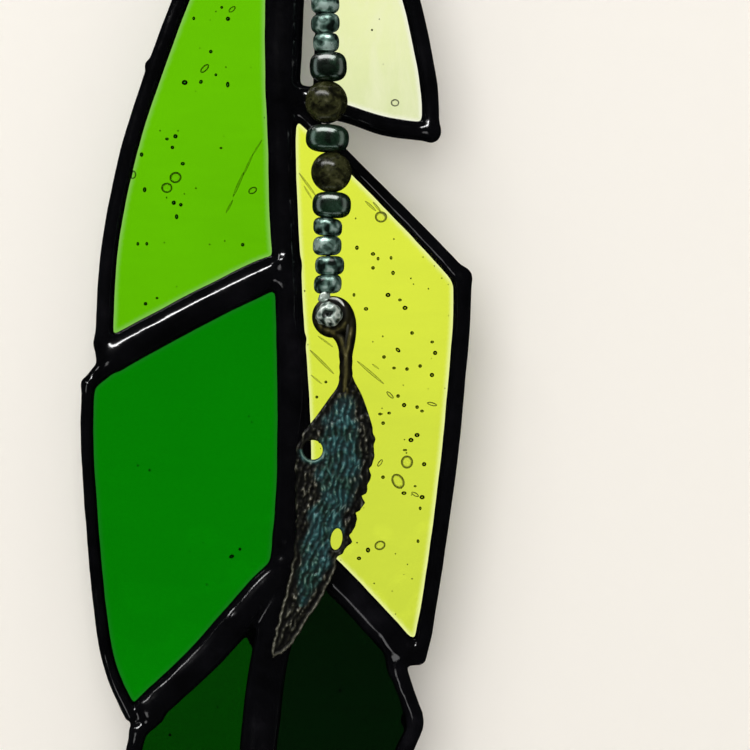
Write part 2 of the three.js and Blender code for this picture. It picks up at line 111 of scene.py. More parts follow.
def mesh_object(name, verts, faces, material, smooth=True):
    me = bpy.data.meshes.new(name)
    me.from_pydata((np.asarray(verts, float) * MM).tolist(), [], [list(map(int, f)) for f in faces])
    me.validate()
    me.polygons.foreach_set("use_smooth", [smooth] * len(me.polygons))
    me.materials.append(material)
    me.update()
    ob = bpy.data.objects.new(name, me)
    scene.collection.objects.link(ob)
    return ob


def piece(ob, slot, *nodes):
    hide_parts(*nodes)
    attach(ob, "root")
    return ob


def waves(p, size, seed, octaves=3):
    """Smooth noise about 0, from a few plane waves of about the given size."""
    r = np.random.default_rng(seed)
    out = np.zeros(p.shape[:-1])
    for o in range(octaves):
        k = 2 * math.pi / (size / 1.7**o)
        for _ in range(5):
            d = r.normal(size=p.shape[-1])
            d /= np.linalg.norm(d)
            out += 0.45 * 0.55**o * np.sin((p @ d) * k * r.uniform(0.75, 1.3) + r.uniform(0, 6.28))
    return out


def tube(path, radii, sides=14, closed=False):
    path = np.asarray(path, float)
    n = len(path)
    radii = np.broadcast_to(np.asarray(radii, float), (n,))
    if closed:
        tangent = np.roll(path, -1, 0) - np.roll(path, 1, 0)
    else:
        tangent = np.gradient(path, axis=0)
    tangent /= np.linalg.norm(tangent, axis=1)[:, None]
    up = np.cross(tangent[0], [0.3, 0.9, 0.2])
    up /= np.linalg.norm(up)
    verts = []
    a = np.linspace(0, 2 * math.pi, sides, endpoint=False)
    for p, t, r in zip(path, tangent, radii):
        up = up - t * (up @ t)
        up /= np.linalg.norm(up)
        across = np.cross(t, up)
        verts.append(p + r * (np.cos(a)[:, None] * up + np.sin(a)[:, None] * across))
    verts = np.vstack(verts)
    faces = []
    for i in range(n if closed else n - 1):
        j = (i + 1) % n
        for k in range(sides):
            m = (k + 1) % sides
            faces.append((i * sides + k, i * sides + m, j * sides + m, j * sides + k))
    if not closed:
        faces += [tuple(range(sides))[::-1], tuple((n - 1) * sides + k for k in range(sides))]
    return verts, faces


def merged(*parts):
    verts, faces, n = [], [], 0
    for v, f in parts:
        verts.append(np.asarray(v, float))
        faces += [tuple(i + n for i in g) for g in f]
        n += len(v)
    return np.vstack(verts), faces


# ---------------------------------------------------------------- materials
class Finish:
    """A Principled material whose colour, roughness and bump come from nodes, in millimetres of the object's own space."""

    def __init__(self, name, **sockets):
        self.mat = bpy.data.materials.new(name)
        self.mat.use_nodes = True
        self.tree = self.mat.node_tree
        self.tree.nodes.clear()
        self.out = self.node("ShaderNodeOutputMaterial")
        self.shader = self.node("ShaderNodeBsdfPrincipled")
        self.link(self.shader.outputs[0], self.out.inputs["Surface"])
        for k, v in sockets.items():
            self.shader.inputs[k.replace("_", " ")].default_value = v
        self.coords = self.node("ShaderNodeTexCoord").outputs["Object"]
        self.mm = self.scaled(1000)

    def node(self, kind, **props):
        n = self.tree.nodes.new(kind)
        for k, v in props.items():
            setattr(n, k, v)
        return n

    def link(self, a, b):
        self.tree.links.new(a, b)

    def scaled(self, *s, turn=(0, 0, 0)):
        m = self.node("ShaderNodeMapping")
        m.inputs["Scale"].default_value = s * 3 if len(s) == 1 else s
        m.inputs["Rotation"].default_value = turn
        self.link(self.coords, m.inputs["Vector"])
        return m.outputs[0]

    def noise(self, scale, detail=3.0, rough=0.55, twist=0.0, at=None):
        n = self.node("ShaderNodeTexNoise")
        n.inputs["Scale"].default_value = scale
        n.inputs["Detail"].default_value = detail
        n.inputs["Roughness"].default_value = rough
        n.inputs["Distortion"].default_value = twist
        self.link(at or self.mm, n.inputs["Vector"])
        return n.outputs[0]

    def ramp(self, value, *stops):
        r = self.node("ShaderNodeValToRGB")
        r.color_ramp.interpolation = "EASE"
        e = r.color_ramp.elements
        while len(e) < len(stops):
            e.new(0.5)
        for s, (at, c) in zip(e, stops):
            s.position = at
            s.color = (*c, 1) if len(c) == 3 else c
        self.link(value, r.inputs["Fac"])
        return r.outputs["Color"]

    def span(self, value, lo, hi, to_lo, to_hi):
        m = self.node("ShaderNodeMapRange")
        for k, v in zip(("From Min", "From Max", "To Min", "To Max"), (lo, hi, to_lo, to_hi)):
            m.inputs[k].default_value = v
        self.link(value, m.inputs["Value"])
        return m.outputs[0]

    def math(self, op, a, b):
        m = self.node("ShaderNodeMath", operation=op)
        for i, v in enumerate((a, b)):
            if isinstance(v, (int, float)):
                m.inputs[i].default_value = v
            else:
                self.link(v, m.inputs[i])
        return m.outputs[0]

    def mix(self, fac, a, b, how="MIX"):
        m = self.node("ShaderNodeMix", data_type="RGBA", blend_type=how)
        if isinstance(fac, (int, float)):
            m.inputs["Factor"].default_value = fac
        else:
            self.link(fac, m.inputs["Factor"])
        for k, v in (("A", a), ("B", b)):
            s = [i for i in m.inputs if i.name == k and i.type == "RGBA"][0]
            if isinstance(v, tuple):
                s.default_value = (*v, 1)
            else:
                self.link(v, s)
        return [o for o in m.outputs if o.type == "RGBA"][0]

    def attribute(self, name):
        return self.node("ShaderNodeAttribute", attribute_name=name).outputs["Fac"]

    def bump(self, height, strength, depth_mm):
        b = self.node("ShaderNodeBump")
        b.inputs["Strength"].default_value = strength
        b.inputs["Distance"].default_value = depth_mm * MM
        self.link(height, b.inputs["Height"])
        self.link(b.outputs[0], self.shader.inputs["Normal"])
        return b

    def colour(self, socket):
        self.link(socket, self.shader.inputs["Base Color"])

    def rough(self, socket):
        self.link(socket, self.shader.inputs["Roughness"])

    def height_z(self):
        s = self.node("ShaderNodeSeparateXYZ")
        self.link(self.mm, s.inputs[0])
        return s.outputs["Z"]


def solder_finish():
    f = Finish("black_patina_solder", IOR=1.5, Specular_IOR_Level=0.5)
    broad, fine = f.noise(0.16, 4, 0.6), f.noise(1.1, 4, 0.6)
    tone = f.ramp(broad, (0.3, (0.0008, 0.0008, 0.0011)), (0.55, (0.0018, 0.0018, 0.0025)), (0.75, (0.0042, 0.004, 0.0056)))
    f.colour(f.mix(f.span(fine, 0.64, 0.82, 0, 0.5), tone, (0.010, 0.0095, 0.011)))
    f.rough(f.span(f.math("ADD", broad, f.math("MULTIPLY", fine, 0.5)), 0.5, 1.0, 0.06, 0.17))
    f.bump(f.math("ADD", f.noise(0.55, 2, 0.5), f.math("MULTIPLY", f.noise(2.4, 3, 0.6), 0.2)), 0.1, 0.2)
    return f.mat


def glass_finish(name, high, low, z_high, z_low, streak=0.06, milk=None, streak_turn=0.5, rim=None, **sockets):
    f = Finish(name, Roughness=0.02, IOR=1.5, Transmission_Weight=1.0, **sockets)
    # the colour runs from high at z_high to low at z_low; on all but the deep green glass this is painted light,
    # lighter at the top and shaded towards the bottom
    down = f.span(f.height_z(), z_high, z_low, 0, 1)
    stretched = f.scaled(90, 90, 420, turn=(0, streak_turn, 0))
    sway = f.span(f.noise(1.0, 3, 0.55, 0.6, at=stretched), 0.3, 0.7, -streak, streak)
    c = f.ramp(f.math("ADD", down, f.math("MULTIPLY", sway, 4)), (0.0, high), (1.0, low))
    cloud = f.span(f.noise(0.07, 3, 0.5), 0.3, 0.7, 1 - streak, 1 + streak)
    tone = f.node("ShaderNodeHueSaturation")
    f.link(cloud, tone.inputs["Value"])
    f.link(c, tone.inputs["Color"])
    c = tone.outputs[0]
    if milk:
        wisp = f.span(f.noise(0.22, 4, 0.6, 1.2, at=f.scaled(700, 700, 260, turn=(0, -0.5, 0))), 0.48, 0.72, 0, 0.75)
        c = f.mix(wisp, c, milk)
    # rim lightens the glass in a band along the solder: painted light
    if rim:
        c = f.mix(f.attribute("rim"), c, rim)
    f.colour(c)
    f.bump(f.noise(0.22, 2, 0.5), 0.15, 0.15)
    return f.mat


# ---------------------------------------------------------------- solder frame
def nearest(line, X, Z):
    best, width = np.full(X.shape, 1e9), np.ones(X.shape)
    for a, b in zip(line[:-1], line[1:]):
        d = b[:2] - a[:2]
        t = np.clip(((X - a[0]) * d[0] + (Z - a[1]) * d[1]) / max(d @ d, 1e-9), 0, 1)
        dist = np.hypot(X - a[0] - t * d[0], Z - a[1] - t * d[1])
        near = dist < best
        best[near] = dist[near]
        width[near] = (a[2] + t * (b[2] - a[2]))[near]
    return best, width


def surface_nets(F, low, step):
    """A closed mesh of quads where the field F changes sign."""
    n = np.array(F.shape)
    inside = F < 0
    cut = lambda a, c: a[c[0]:n[0] - 1 + c[0], c[1]:n[1] - 1 + c[1], c[2]:n[2] - 1 + c[2]]
    corners = [(i, j, k) for i in (0, 1) for j in (0, 1) for k in (0, 1)]
    count = sum(cut(inside, c).astype(np.int8) for c in corners)
    active = (count > 0) & (count < 8)
    index = np.full(active.shape, -1)
    index[active] = np.arange(active.sum())
    cell = np.argwhere(active)
    total, hits = np.zeros((len(cell), 3)), np.zeros(len(cell))
    for a in corners:
        for axis in range(3):
            if a[axis]:
                continue
            b = list(a)
            b[axis] = 1
            fa, fb = F[tuple((cell + a).T)], F[tuple((cell + b).T)]
            m = (fa < 0) != (fb < 0)
            p = (cell + a).astype(float)
            p[:, axis] += np.where(m, fa / np.where(m, fa - fb, 1), 0)
            total[m] += p[m]
            hits[m] += 1
    verts = low + step * total / hits[:, None]
    faces = []
    for axis in range(3):
        u, v = (axis + 1) % 3, (axis + 2) % 3
        first = [slice(None)] * 3
        second = [slice(None)] * 3
        first[axis], second[axis] = slice(0, -1), slice(1, None)
        A, B = inside[tuple(first)], inside[tuple(second)]
        at = np.argwhere(A != B)
        at = at[(at[:, u] > 0) & (at[:, v] > 0) & (at[:, u] < n[u] - 1) & (at[:, v] < n[v] - 1)]
        eu, ev = np.eye(3, dtype=int)[u], np.eye(3, dtype=int)[v]
        quad = np.stack([index[tuple((at - eu - ev).T)], index[tuple((at - ev).T)], index[tuple(at.T)], index[tuple((at - eu).T)]], 1)
        out = A[tuple(at.T)]
        quad[~out] = quad[~out][:, ::-1]
        faces.append(quad)
    return verts, np.vstack(faces)


def relaxed(verts, quads, rounds=5):
    e = np.vstack([quads[:, [0, 1]], quads[:, [1, 2]], quads[:, [2, 3]], quads[:, [3, 0]]])
    e = np.unique(np.vstack([e, e[:, ::-1]]), axis=0)
    degree = np.bincount(e[:, 0], minlength=len(verts))[:, None]
    for _ in range(rounds):
        for weight in (0.5, -0.52):
            mean = np.stack([np.bincount(e[:, 0], verts[e[:, 1], k], len(verts)) for k in range(3)], 1) / degree
            verts = verts + weight * (mean - verts)
    return verts


def solder_frame():
    step = 0.36
    low, high = np.array([-32.4, -3.6, -201.5]), np.array([24.6, 3.6, -5.6])
    axes = [np.arange(a, b + step, step) for a, b in zip(low, high)]
    X, Z = np.meshgrid(axes[0], axes[2], indexing="ij")
    flat = np.stack([X, Z], -1)
    uneven = 1 + 0.006 * waves(flat, 11.0, 11, 2)
    bands = []
    flat_side = 0.9  # the bead stands straight up to here from the middle plane, and is round above
    for stations, thick, power in [(RACHIS, 2.62, 2.3)] + [(s, 2.6, 2.2) for s in SEAMS] + [(s, 2.3, 2.3) for s in EDGES]:
        line = through(stations, 6)
        d, w = nearest(line, X, Z)
        w = w * uneven
        bands.append((np.minimum(d / w, 30) ** power, np.minimum(w, thick), thick, power))
    crust = 0.012 * waves(flat, 9.0, 3, 2)
    wrinkled = sum(np.exp(-(((X - x) ** 2 + (Z - z) ** 2) / reach**2)) for x, z, reach in WRINKLED)
    F = np.empty([len(a) for a in axes])
    k = 0.22
    for j, y in enumerate(axes[1]):
        total = np.zeros(X.shape)
        for A, size, thick, power in bands:
            f = ((A + (max(abs(y) - flat_side, 0) / (thick - flat_side)) ** power) ** (1 / power) - 1) * size
            total += np.exp(-np.clip(f, -6, 12) / k)
        for x, z, depth, r in LUMPS:
            f = np.sqrt((X - x) ** 2 + (Z - z) ** 2 + (y - depth) ** 2) - r
            total += np.exp(-np.clip(f, -6, 12) / k)
        here = np.stack([X, Z, np.full(X.shape, y)], -1)
        grain = 0.009 * waves(here, 3.4, 23, 2) + 0.06 * wrinkled * waves(here, 2.3, 29, 2)
        F[:, j, :] = -k * np.log(total + 1e-30) + crust + grain
        bore = np.hypot(np.hypot(X, Z + 4.0) - 4.8, y) - 0.9
        F[:, j, :] = np.maximum(F[:, j, :], -bore)
    verts, quads = surface_nets(F, low, step)
    verts = relaxed(verts, quads)
    # A few stray drops smaller than the frame itself would be loose shells: only the largest shell stays.
    parent = np.arange(len(verts))
    pairs = np.vstack([quads[:, [0, 1]], quads[:, [1, 2]], quads[:, [2, 3]]])
    while True:
        least = np.minimum(parent[pairs[:, 0]], parent[pairs[:, 1]])
        before = parent.copy()
        np.minimum.at(parent, pairs[:, 0], least)
        np.minimum.at(parent, pairs[:, 1], least)
        parent = parent[parent]
        if np.array_equal(before, parent):
            break
    main = np.bincount(parent).argmax()
    keep = parent == main
    renumber = np.cumsum(keep) - 1
    quads = renumber[quads[keep[quads[:, 0]]]]
    return verts[keep], quads


verts, quads = solder_frame()
print("solder", len(verts), "verts", 2 * len(quads), "triangles")
solder = piece(mesh_object("solder", verts, quads, solder_finish()), "solder", "solder_frame")


# ---------------------------------------------------------------- glass
def outline_of(node):
    """The outline of a flat CAD node's front face, (x, z) in mm, in order."""
    me = frame["nodes"][node].data
    V = np.array([v.co for v in me.vertices]) / MM
    front = V[:, 1].min()
    key = [(round(v[0], 3), round(v[2], 3)) for v in V]
    seen = set()
    for p in me.polygons:
        ids = list(p.vertices)
        if all(abs(V[i, 1] - front) < 1e-3 for i in ids):
            seen |= {(key[a], key[b]) for a, b in zip(ids, ids[1:] + ids[:1])}
    follow = {a: b for a, b in seen if (b, a) not in seen}
    first = min(follow)
    loop = [first]
    while follow[loop[-1]] != first:
        loop.append(follow[loop[-1]])
    return np.array(loop)


def inside_of(loop, P):
    inside = np.zeros(len(P), bool)
    for a, b in zip(loop, np.roll(loop, -1, 0)):
        m = (a[1] > P[:, 1]) != (b[1] > P[:, 1])
        at = (b[0] - a[0]) * (P[:, 1] - a[1]) / (b[1] - a[1] if b[1] != a[1] else 1e-12) + a[0]
        inside ^= m & (P[:, 0] < at)
    return inside


def resampled(loop, spacing):
    out = []
    for a, b in zip(loop, np.roll(loop, -1, 0)):
        n = max(1, round(np.linalg.norm(b - a) / spacing))
        out += [a + (b - a) * i / n for i in range(n)]
    return np.array(out)


def to_loops(loops, P):
    d = np.full(len(P), 1e9)
    for loop in loops:
        for a, b in zip(loop, np.roll(loop, -1, 0)):
            e = b - a
            t = np.clip(((P - a) @ e) / max(e @ e, 1e-12), 0, 1)
            d = np.minimum(d, np.linalg.norm(P - a - t[:, None] * e, axis=1))
    return d


def sheet_mesh(loops, spacing, front, back):
    """A plate between two height functions over the region inside the first loop and outside the others."""
    loops = [resampled(l, spacing) for l in loops]
    lo, hi = loops[0].min(0), loops[0].max(0)
    gx, gz = np.arange(lo[0], hi[0], spacing), np.arange(lo[1], hi[1], spacing * 0.866)
    X, Z = np.meshgrid(gx, gz)
    X = X + (np.arange(len(gz)) % 2)[:, None] * spacing / 2
    P = np.stack([X.ravel(), Z.ravel()], 1)
    ok = inside_of(loops[0], P)
    for hole in loops[1:]:
        ok &= ~inside_of(hole, P)
    P = P[ok]
    P = P[to_loops(loops, P) > spacing * 0.5]
    pts, edges, n = [], [], 0
    for l in loops:
        pts += [tuple(p) for p in l]
        edges += [(n + i, n + (i + 1) % len(l)) for i in range(len(l))]
        n += len(l)
    pts += [tuple(p) for p in P]
    out = geometry.delaunay_2d_cdt([Vector(p) for p in pts], edges, [], 0, 1e-6)
    V = np.array([tuple(v) for v in out[0]])
    T = np.array([f for f in out[2] if len(f) == 3])
    mid = V[T].mean(1)
    ok = inside_of(loops[0], mid)
    for hole in loops[1:]:
        ok &= ~inside_of(hole, mid)
    T = T[ok]
    a, b, c = V[T[:, 0]], V[T[:, 1]], V[T[:, 2]]
    turn = (b[:, 0] - a[:, 0]) * (c[:, 1] - a[:, 1]) - (b[:, 1] - a[:, 1]) * (c[:, 0] - a[:, 0])
    T[turn < 0] = T[turn < 0][:, ::-1]
    m = len(V)
    F = np.column_stack([V[:, 0], front(V), V[:, 1]])
    B = np.column_stack([V[:, 0], back(V), V[:, 1]])
    tris = [tuple(t) for t in T] + [(t[2] + m, t[1] + m, t[0] + m) for t in T]
    directed = {(int(t[i]), int(t[(i + 1) % 3])) for t in T for i in range(3)}
    sides = [(q, p, p + m, q + m) for p, q in directed if (q, p) not in directed]
    used = np.zeros(2 * m, bool)
    used[[i for t in tris for i in t]] = True
    renumber = np.cumsum(used) - 1
    faces = [tuple(int(renumber[i]) for i in f) for f in tris + sides]
    return np.vstack([F, B])[used], faces


def cavity(x, y, z, rx, ry, rz, turn=0.0, around=14, rings=8):
    """A small closed hollow, its faces turned inwards."""
    verts, faces = [(0, 0, 1)], []
    for i in range(1, rings):
        t = math.pi * i / rings
        verts += [(math.sin(t) * math.cos(2 * math.pi * k / around), math.sin(t) * math.sin(2 * math.pi * k / around), math.cos(t)) for k in range(around)]
    verts.append((0, 0, -1))
    last = len(verts) - 1
    for k in range(around):
        m = (k + 1) % around
        faces.append((0, 1 + m, 1 + k))
        for i in range(rings - 2):
            a, b = 1 + i * around, 1 + (i + 1) * around
            faces.append((a + k, a + m, b + m, b + k))
        faces.append((last, 1 + (rings - 2) * around + k, 1 + (rings - 2) * around + m))
    V = np.array(verts, float) * [rx, ry, rz]
    c, s = math.cos(turn), math.sin(turn)
    V = np.column_stack([V[:, 0] * c - V[:, 2] * s, V[:, 1], V[:, 0] * s + V[:, 2] * c])
    return V + [x, y, z], faces


def at_px(px, py, y=0.0):
    f = (393.75 + y) / 393.75
    return 9.94 + (px - 375) * 0.14 * f, -112.784 - (py - 375) * 0.14 * f


# Seed bubbles, seen from the front: place, width and height in picture points, turn in degrees.
BUBBLES = {
    "glass_lime": [
        (176, 178, 13, 12, 20), (167, 188, 12, 11, 0), (253, 191, 10, 7, 30), (205, 69, 12, 6, 45), (185, 83, 8, 7, 0), (232, 9, 9, 5, 40), (228, 19, 6, 6, 0),
        (228, 85, 5, 8, 0), (174, 203, 6, 6, 0), (145, 190, 5, 7, 0), (183, 164, 6, 5, 0), (176, 137, 6, 6, 0), (211, 52, 5, 5, 0), (177, 217, 5, 7, 0),
        (181, 205, 5, 5, 0), (243, 245, 5, 5, 0), (173, 148, 5, 5, 0), (147, 244, 4, 5, 0), (138, 244, 4, 5, 0), (146, 304, 5, 5, 0), (142, 155, 5, 6, 0),
        (133, 175, 8, 9, 0), (216, 75, 4, 4, 0), (167, 139, 5, 4, 0), (194, 19, 4, 5, 0), (221, 148, 4, 3, 0), (201, 82, 5, 6, -30), (222, 8, 4, 4, 0), (157, 298, 4, 3, 0),
    ],
    "glass_yellow": [
        (398, 481, 17, 13, -58), (407, 462, 13, 14, 0), (381, 217, 13, 12, 0), (380, 545, 12, 10, 20), (422, 497, 7, 6, 0), (415, 494, 9, 4, -30), (432, 404, 11, 4, -15),
        (417, 407, 5, 5, 0), (422, 411, 5, 4, 0), (390, 395, 10, 4, -45), (398, 350, 8, 5, -45), (417, 435, 7, 6, 0), (411, 440, 7, 6, 0), (405, 308, 7, 6, 0),
        (388, 295, 7, 6, 0), (435, 353, 6, 6, 0), (432, 375, 6, 6, 0), (404, 405, 6, 6, 0), (404, 493, 7, 5, 0), (368, 550, 6, 7, 0), (393, 273, 5, 6, 0),
        (359, 558, 6, 5, 0), (357, 248, 5, 6, 0), (424, 464, 6, 6, 0), (420, 366, 5, 5, 0), (412, 333, 5, 5, 0), (373, 254, 6, 5, 0), (383, 477, 5, 5, 0),
        (366, 309, 6, 5, 0), (432, 342, 5, 4, 0), (398, 396, 5, 5, 0), (394, 368, 5, 4, 0), (407, 369, 5, 5, 0), (400, 300, 5, 4, 0), (384, 357, 5, 5, 0),
        (380, 414, 5, 4, 0), (378, 259, 4, 5, 0), (373, 268, 5, 5, 0), (391, 258, 4, 5, 0), (389, 413, 5, 4, 0), (383, 423, 5, 5, 0), (354, 295, 4, 5, 0),
        (380, 463, 9, 4, 55), (317, 397, 4, 4, 0), (326, 382, 4, 4, 0), (415, 486, 4, 3, 0), (418, 541, 4, 5, 0), (420, 508, 4, 5, 0), (405, 450, 6, 3, 0),
    ],
    "glass_pale": [(395, 103, 9, 8, 0), (372, 30, 3, 3, 0)],
    "glass_green": [(232, 556, 7, 5, 20), (240, 549, 4, 4, 0), (150, 470, 3, 3, 0)],
    "glass_dark_green": [(170, 735, 4, 4, 0)],
    "glass_deep_green": [(340, 690, 4, 4, 0)],
}
# Fine drawn-out seeds: from and to in picture points, and width.
STREAKS = {
    "glass_lime": [(253, 154, 243, 176, 2.0), (244, 172, 233, 197, 2.6), (233, 200, 226, 213, 2.0), (262, 140, 252, 156, 1.6)],
    "glass_yellow": [(357, 361, 384, 384, 2.6), (310, 350, 334, 374, 2.6), (299, 173, 316, 196, 2.2), (318, 336, 333, 347, 1.8), (311, 375, 322, 384, 1.6), (304, 186, 312, 199, 1.6), (372, 364, 379, 369, 1.6), (365, 201, 376, 211, 2.4), (373, 202, 381, 212, 2.2)],
}
RANDOM_SEEDS = {"glass_lime": 22, "glass_yellow": 46, "glass_pale": 4, "glass_green": 6, "glass_dark_green": 5, "glass_deep_green": 5}

# the first two colours run top to bottom; except on the deep green glass the lighter top is painted light
GLASS = {
    "glass_lime": glass_finish("lime_glass", (0.152, 0.60, 0.0009), (0.125, 0.53, 0.0004), -55, -108, 0.03, rim=(0.28, 0.60, 0.115)),
    "glass_green": glass_finish("green_glass", (0.0012, 0.222, 0.0006), (0.0009, 0.205, 0.0009), -105, -158, 0.025, rim=(0.0075, 0.19, 0.011)),
    "glass_dark_green": glass_finish("dark_green_glass", (0.0008, 0.043, 0.0004), (0.0007, 0.036, 0.0004), -150, -190, 0.04),
    "glass_pale": glass_finish("pale_glass", (0.93, 0.985, 0.52), (0.78, 0.86, 0.46), -58, -80, 0.02, milk=(0.96, 0.985, 0.68), rim=(0.99, 1.0, 0.83)),
    "glass_yellow": glass_finish("yellow_glass", (0.81, 0.925, 0.062), (0.66, 0.78, 0.058), -82, -150, 0.02, streak_turn=-0.7, rim=(0.93, 1.0, 0.40)),
    "glass_deep_green": glass_finish("deep_green_glass", (0.0008, 0.0065, 0.0009), (0.0006, 0.0085, 0.0012), -140, -190, 0.04),
}


f = Finish("bubble_wall", Roughness=0.1, IOR=1.42, Transmission_Weight=1.0, Alpha=0.8)
f.colour(f.ramp(f.noise(0.8, 2, 0.5), (0.3, (0.97, 0.98, 0.95)), (0.7, (1.0, 1.0, 0.99))))
CLEAR = f.mat

f = Finish("drawn_seed_wall", Roughness=0.12, IOR=1.45, Transmission_Weight=1.0, Alpha=0.72)
f.colour(f.ramp(f.noise(0.8, 2, 0.5), (0.3, (0.74, 0.80, 0.62)), (0.7, (0.84, 0.88, 0.72))))
FAINT = f.mat


def ripples(seed, level):
    return lambda V: level + 0.018 * waves(V, 9.0, seed, 2)


def painted_glow_band(V):
    """1 at the edge of the solder, falling to 0 well inside the glass: a band of painted light along the solder."""
    gap = np.full(len(V), 9.0)
    for stations in [RACHIS, *SEAMS, *EDGES]:
        d, w = nearest(through(stations, 6), V[:, 0], V[:, 2])
        gap = np.minimum(gap, d - 0.96 * w)
    return np.clip(1.12 - gap / 0.62, 0, 1)


for number, (node, finish) in enumerate(GLASS.items()):
    loop = outline_of(node)
    parts = [sheet_mesh([loop], 0.42, ripples(40 + number, -1.5), ripples(60 + number, 1.5))]
    rng = np.random.default_rng(100 + number)
    clear, faint = [], []
    for px, py, w, h, turn in BUBBLES[node]:
        y = rng.uniform(-0.85, 0.75)
        x, z = at_px(px, py, y)
        if max(w, h) >= 9:
            y = rng.uniform(-0.4, 0.4)
        full = 0.95 if max(w, h) >= 9 else 0.74
        rx, rz = 0.07 * w * full, 0.07 * h * full
        if max(w, h) >= 9:
            clear.append(len(parts))
            parts.append(cavity(x, y, z, rx, min(0.8, 0.45 * (rx + rz)), rz, math.radians(turn), 22, 12))
        else:
            parts.append(cavity(x, 0.4 * y, z, rx, min(0.75, 2.2 * min(rx, rz)), rz, math.radians(turn)))
    for x0, y0, x1, y1, wide in STREAKS.get(node, []):
        x, z = at_px((x0 + x1) / 2, (y0 + y1) / 2, -0.9)
        faint.append(len(parts))
        parts.append(cavity(x, -0.9, z, 0.07 * math.hypot(x1 - x0, y1 - y0), 0.1 * wide, 0.07 * wide, math.atan2(y0 - y1, x1 - x0), 10, 16))
    lo, hi = loop.min(0), loop.max(0)
    made = 0
    while made < RANDOM_SEEDS[node]:
        p = rng.uniform(lo, hi)
        if not inside_of(loop, p[None])[0] or to_loops([loop], p[None])[0] < 1.2:
            continue
        r = rng.uniform(0.06, 0.12)
        parts.append(cavity(p[0], rng.uniform(-0.9, 0.9), p[1], r, 2 * r, r * rng.uniform(0.9, 1.3), 0, 8, 6))
        made += 1
    verts, faces = merged(*parts)
    pane = mesh_object("pane_" + node[6:], verts, faces, finish)
    # the rim attribute marks the band painted lighter along the solder
    rim = np.zeros(len(verts))
    rim[:len(parts[0][0])] = painted_glow_band(np.asarray(parts[0][0]))
    pane.data.attributes.new("rim", "FLOAT", "POINT").data.foreach_set("value", rim.astype(np.float32))
    pane.data.materials.append(CLEAR)
    if faint:
        pane.data.materials.append(FAINT)
    owner = np.concatenate([np.full(len(f), 1 if i in clear else 2 if i in faint else 0) for i, (_, f) in enumerate(parts)])
    pane.data.polygons.foreach_set("material_index", owner.astype(np.int32))
    smooth = np.ones(len(faces), bool)
    smooth[:len(parts[0][1])] = [len(q) == 3 for q in parts[0][1]]
    pane.data.polygons.foreach_set("use_smooth", smooth)
    piece(pane, node, node)

# ---------------------------------------------------------------- hanging ring
f = Finish("tinned_ring", Metallic=0.55, IOR=1.5)
n1, n2 = f.noise(0.5, 4, 0.6), f.noise(2.6, 3, 0.6)
f.colour(f.ramp(n1, (0.35, (0.006, 0.006, 0.0075)), (0.6, (0.02, 0.02, 0.022)), (0.8, (0.12, 0.12, 0.125))))
f.rough(f.span(n2, 0.3, 0.7, 0.2, 0.42))
f.bump(f.math("ADD", n1, f.math("MULTIPLY", n2, 0.3)), 0.4, 0.12)
a = np.linspace(0, 2 * math.pi, 120, endpoint=False)
path = np.column_stack([4.8 * np.cos(a), 0 * a, -4.0 + 4.8 * np.sin(a)])
verts, faces = tube(path, 0.78 + 0.02 * np.sin(5 * a) + 0.015 * np.sin(9 * a + 1), 20, True)
piece(mesh_object("ring", verts, faces, f.mat), "ring_wire", "hanging_ring")

# ---------------------------------------------------------------- bead wire
EYE = math.radians(52)
middle = np.array([4.8 * math.cos(EYE), 0, -4.0 - 4.8 * math.sin(EYE)])
outward, front_dir = np.array([math.cos(EYE), 0, -math.sin(EYE)]), np.array([0, -1.0, 0])
top_eye = [middle + 1.5 * (math.cos(math.radians(t)) * outward + math.sin(math.radians(t)) * front_dir) for t in range(370, 59, -31)]
FALL = [[3.45, -1.9, -10.4], [3.35, -2.6, -13.4], [3.25, -4, -22], [3.15, -5, -31], [3.1, -5.6, -45], [3.08, -5.9, -61.6], [3.2, -6, -67], [3.4, -6, -75], [3.5, -6, -80],
        [3.75, -6, -85], [3.75, -6, -89], [3.55, -6, -93], [3.5, -6, -97.7], [3.46, -6, -100.5]]
UNDER = [[0, -1.25], [-0.75, -1], [-1.2, -0.1], [-1.05, 0.75], [-0.3, 1.45], [0.7, 1.55], [2.1, 1.5], [3.2, 1.48]]
under_eye = [[3.46 + 0.08 * max(0, u), -6 - u, -103 - v] for u, v in UNDER]
wire = through([*top_eye, *FALL, *under_eye], 8)
f = Finish("craft_wire", Metallic=1.0)
n1 = f.noise(3.0, 3, 0.6)
f.colour(f.ramp(n1, (0.35, (0.10, 0.11, 0.11)), (0.65, (0.3, 0.32, 0.32))))
f.rough(f.span(n1, 0.3, 0.7, 0.2, 0.42))
verts, faces = tube(wire, 0.3, 12)
piece(mesh_object("wire", verts, faces, f.mat), "bead_wire", "bead_wire")

# ---------------------------------------------------------------- beads
fall = through(FALL, 40)
relief_of = {}


def place_of(node):
    me = frame["nodes"][node].data
    V = np.unique(np.round(np.array([v.co for v in me.vertices]) / MM, 4), axis=0)
    return V, (V.min(0) + V.max(0)) / 2


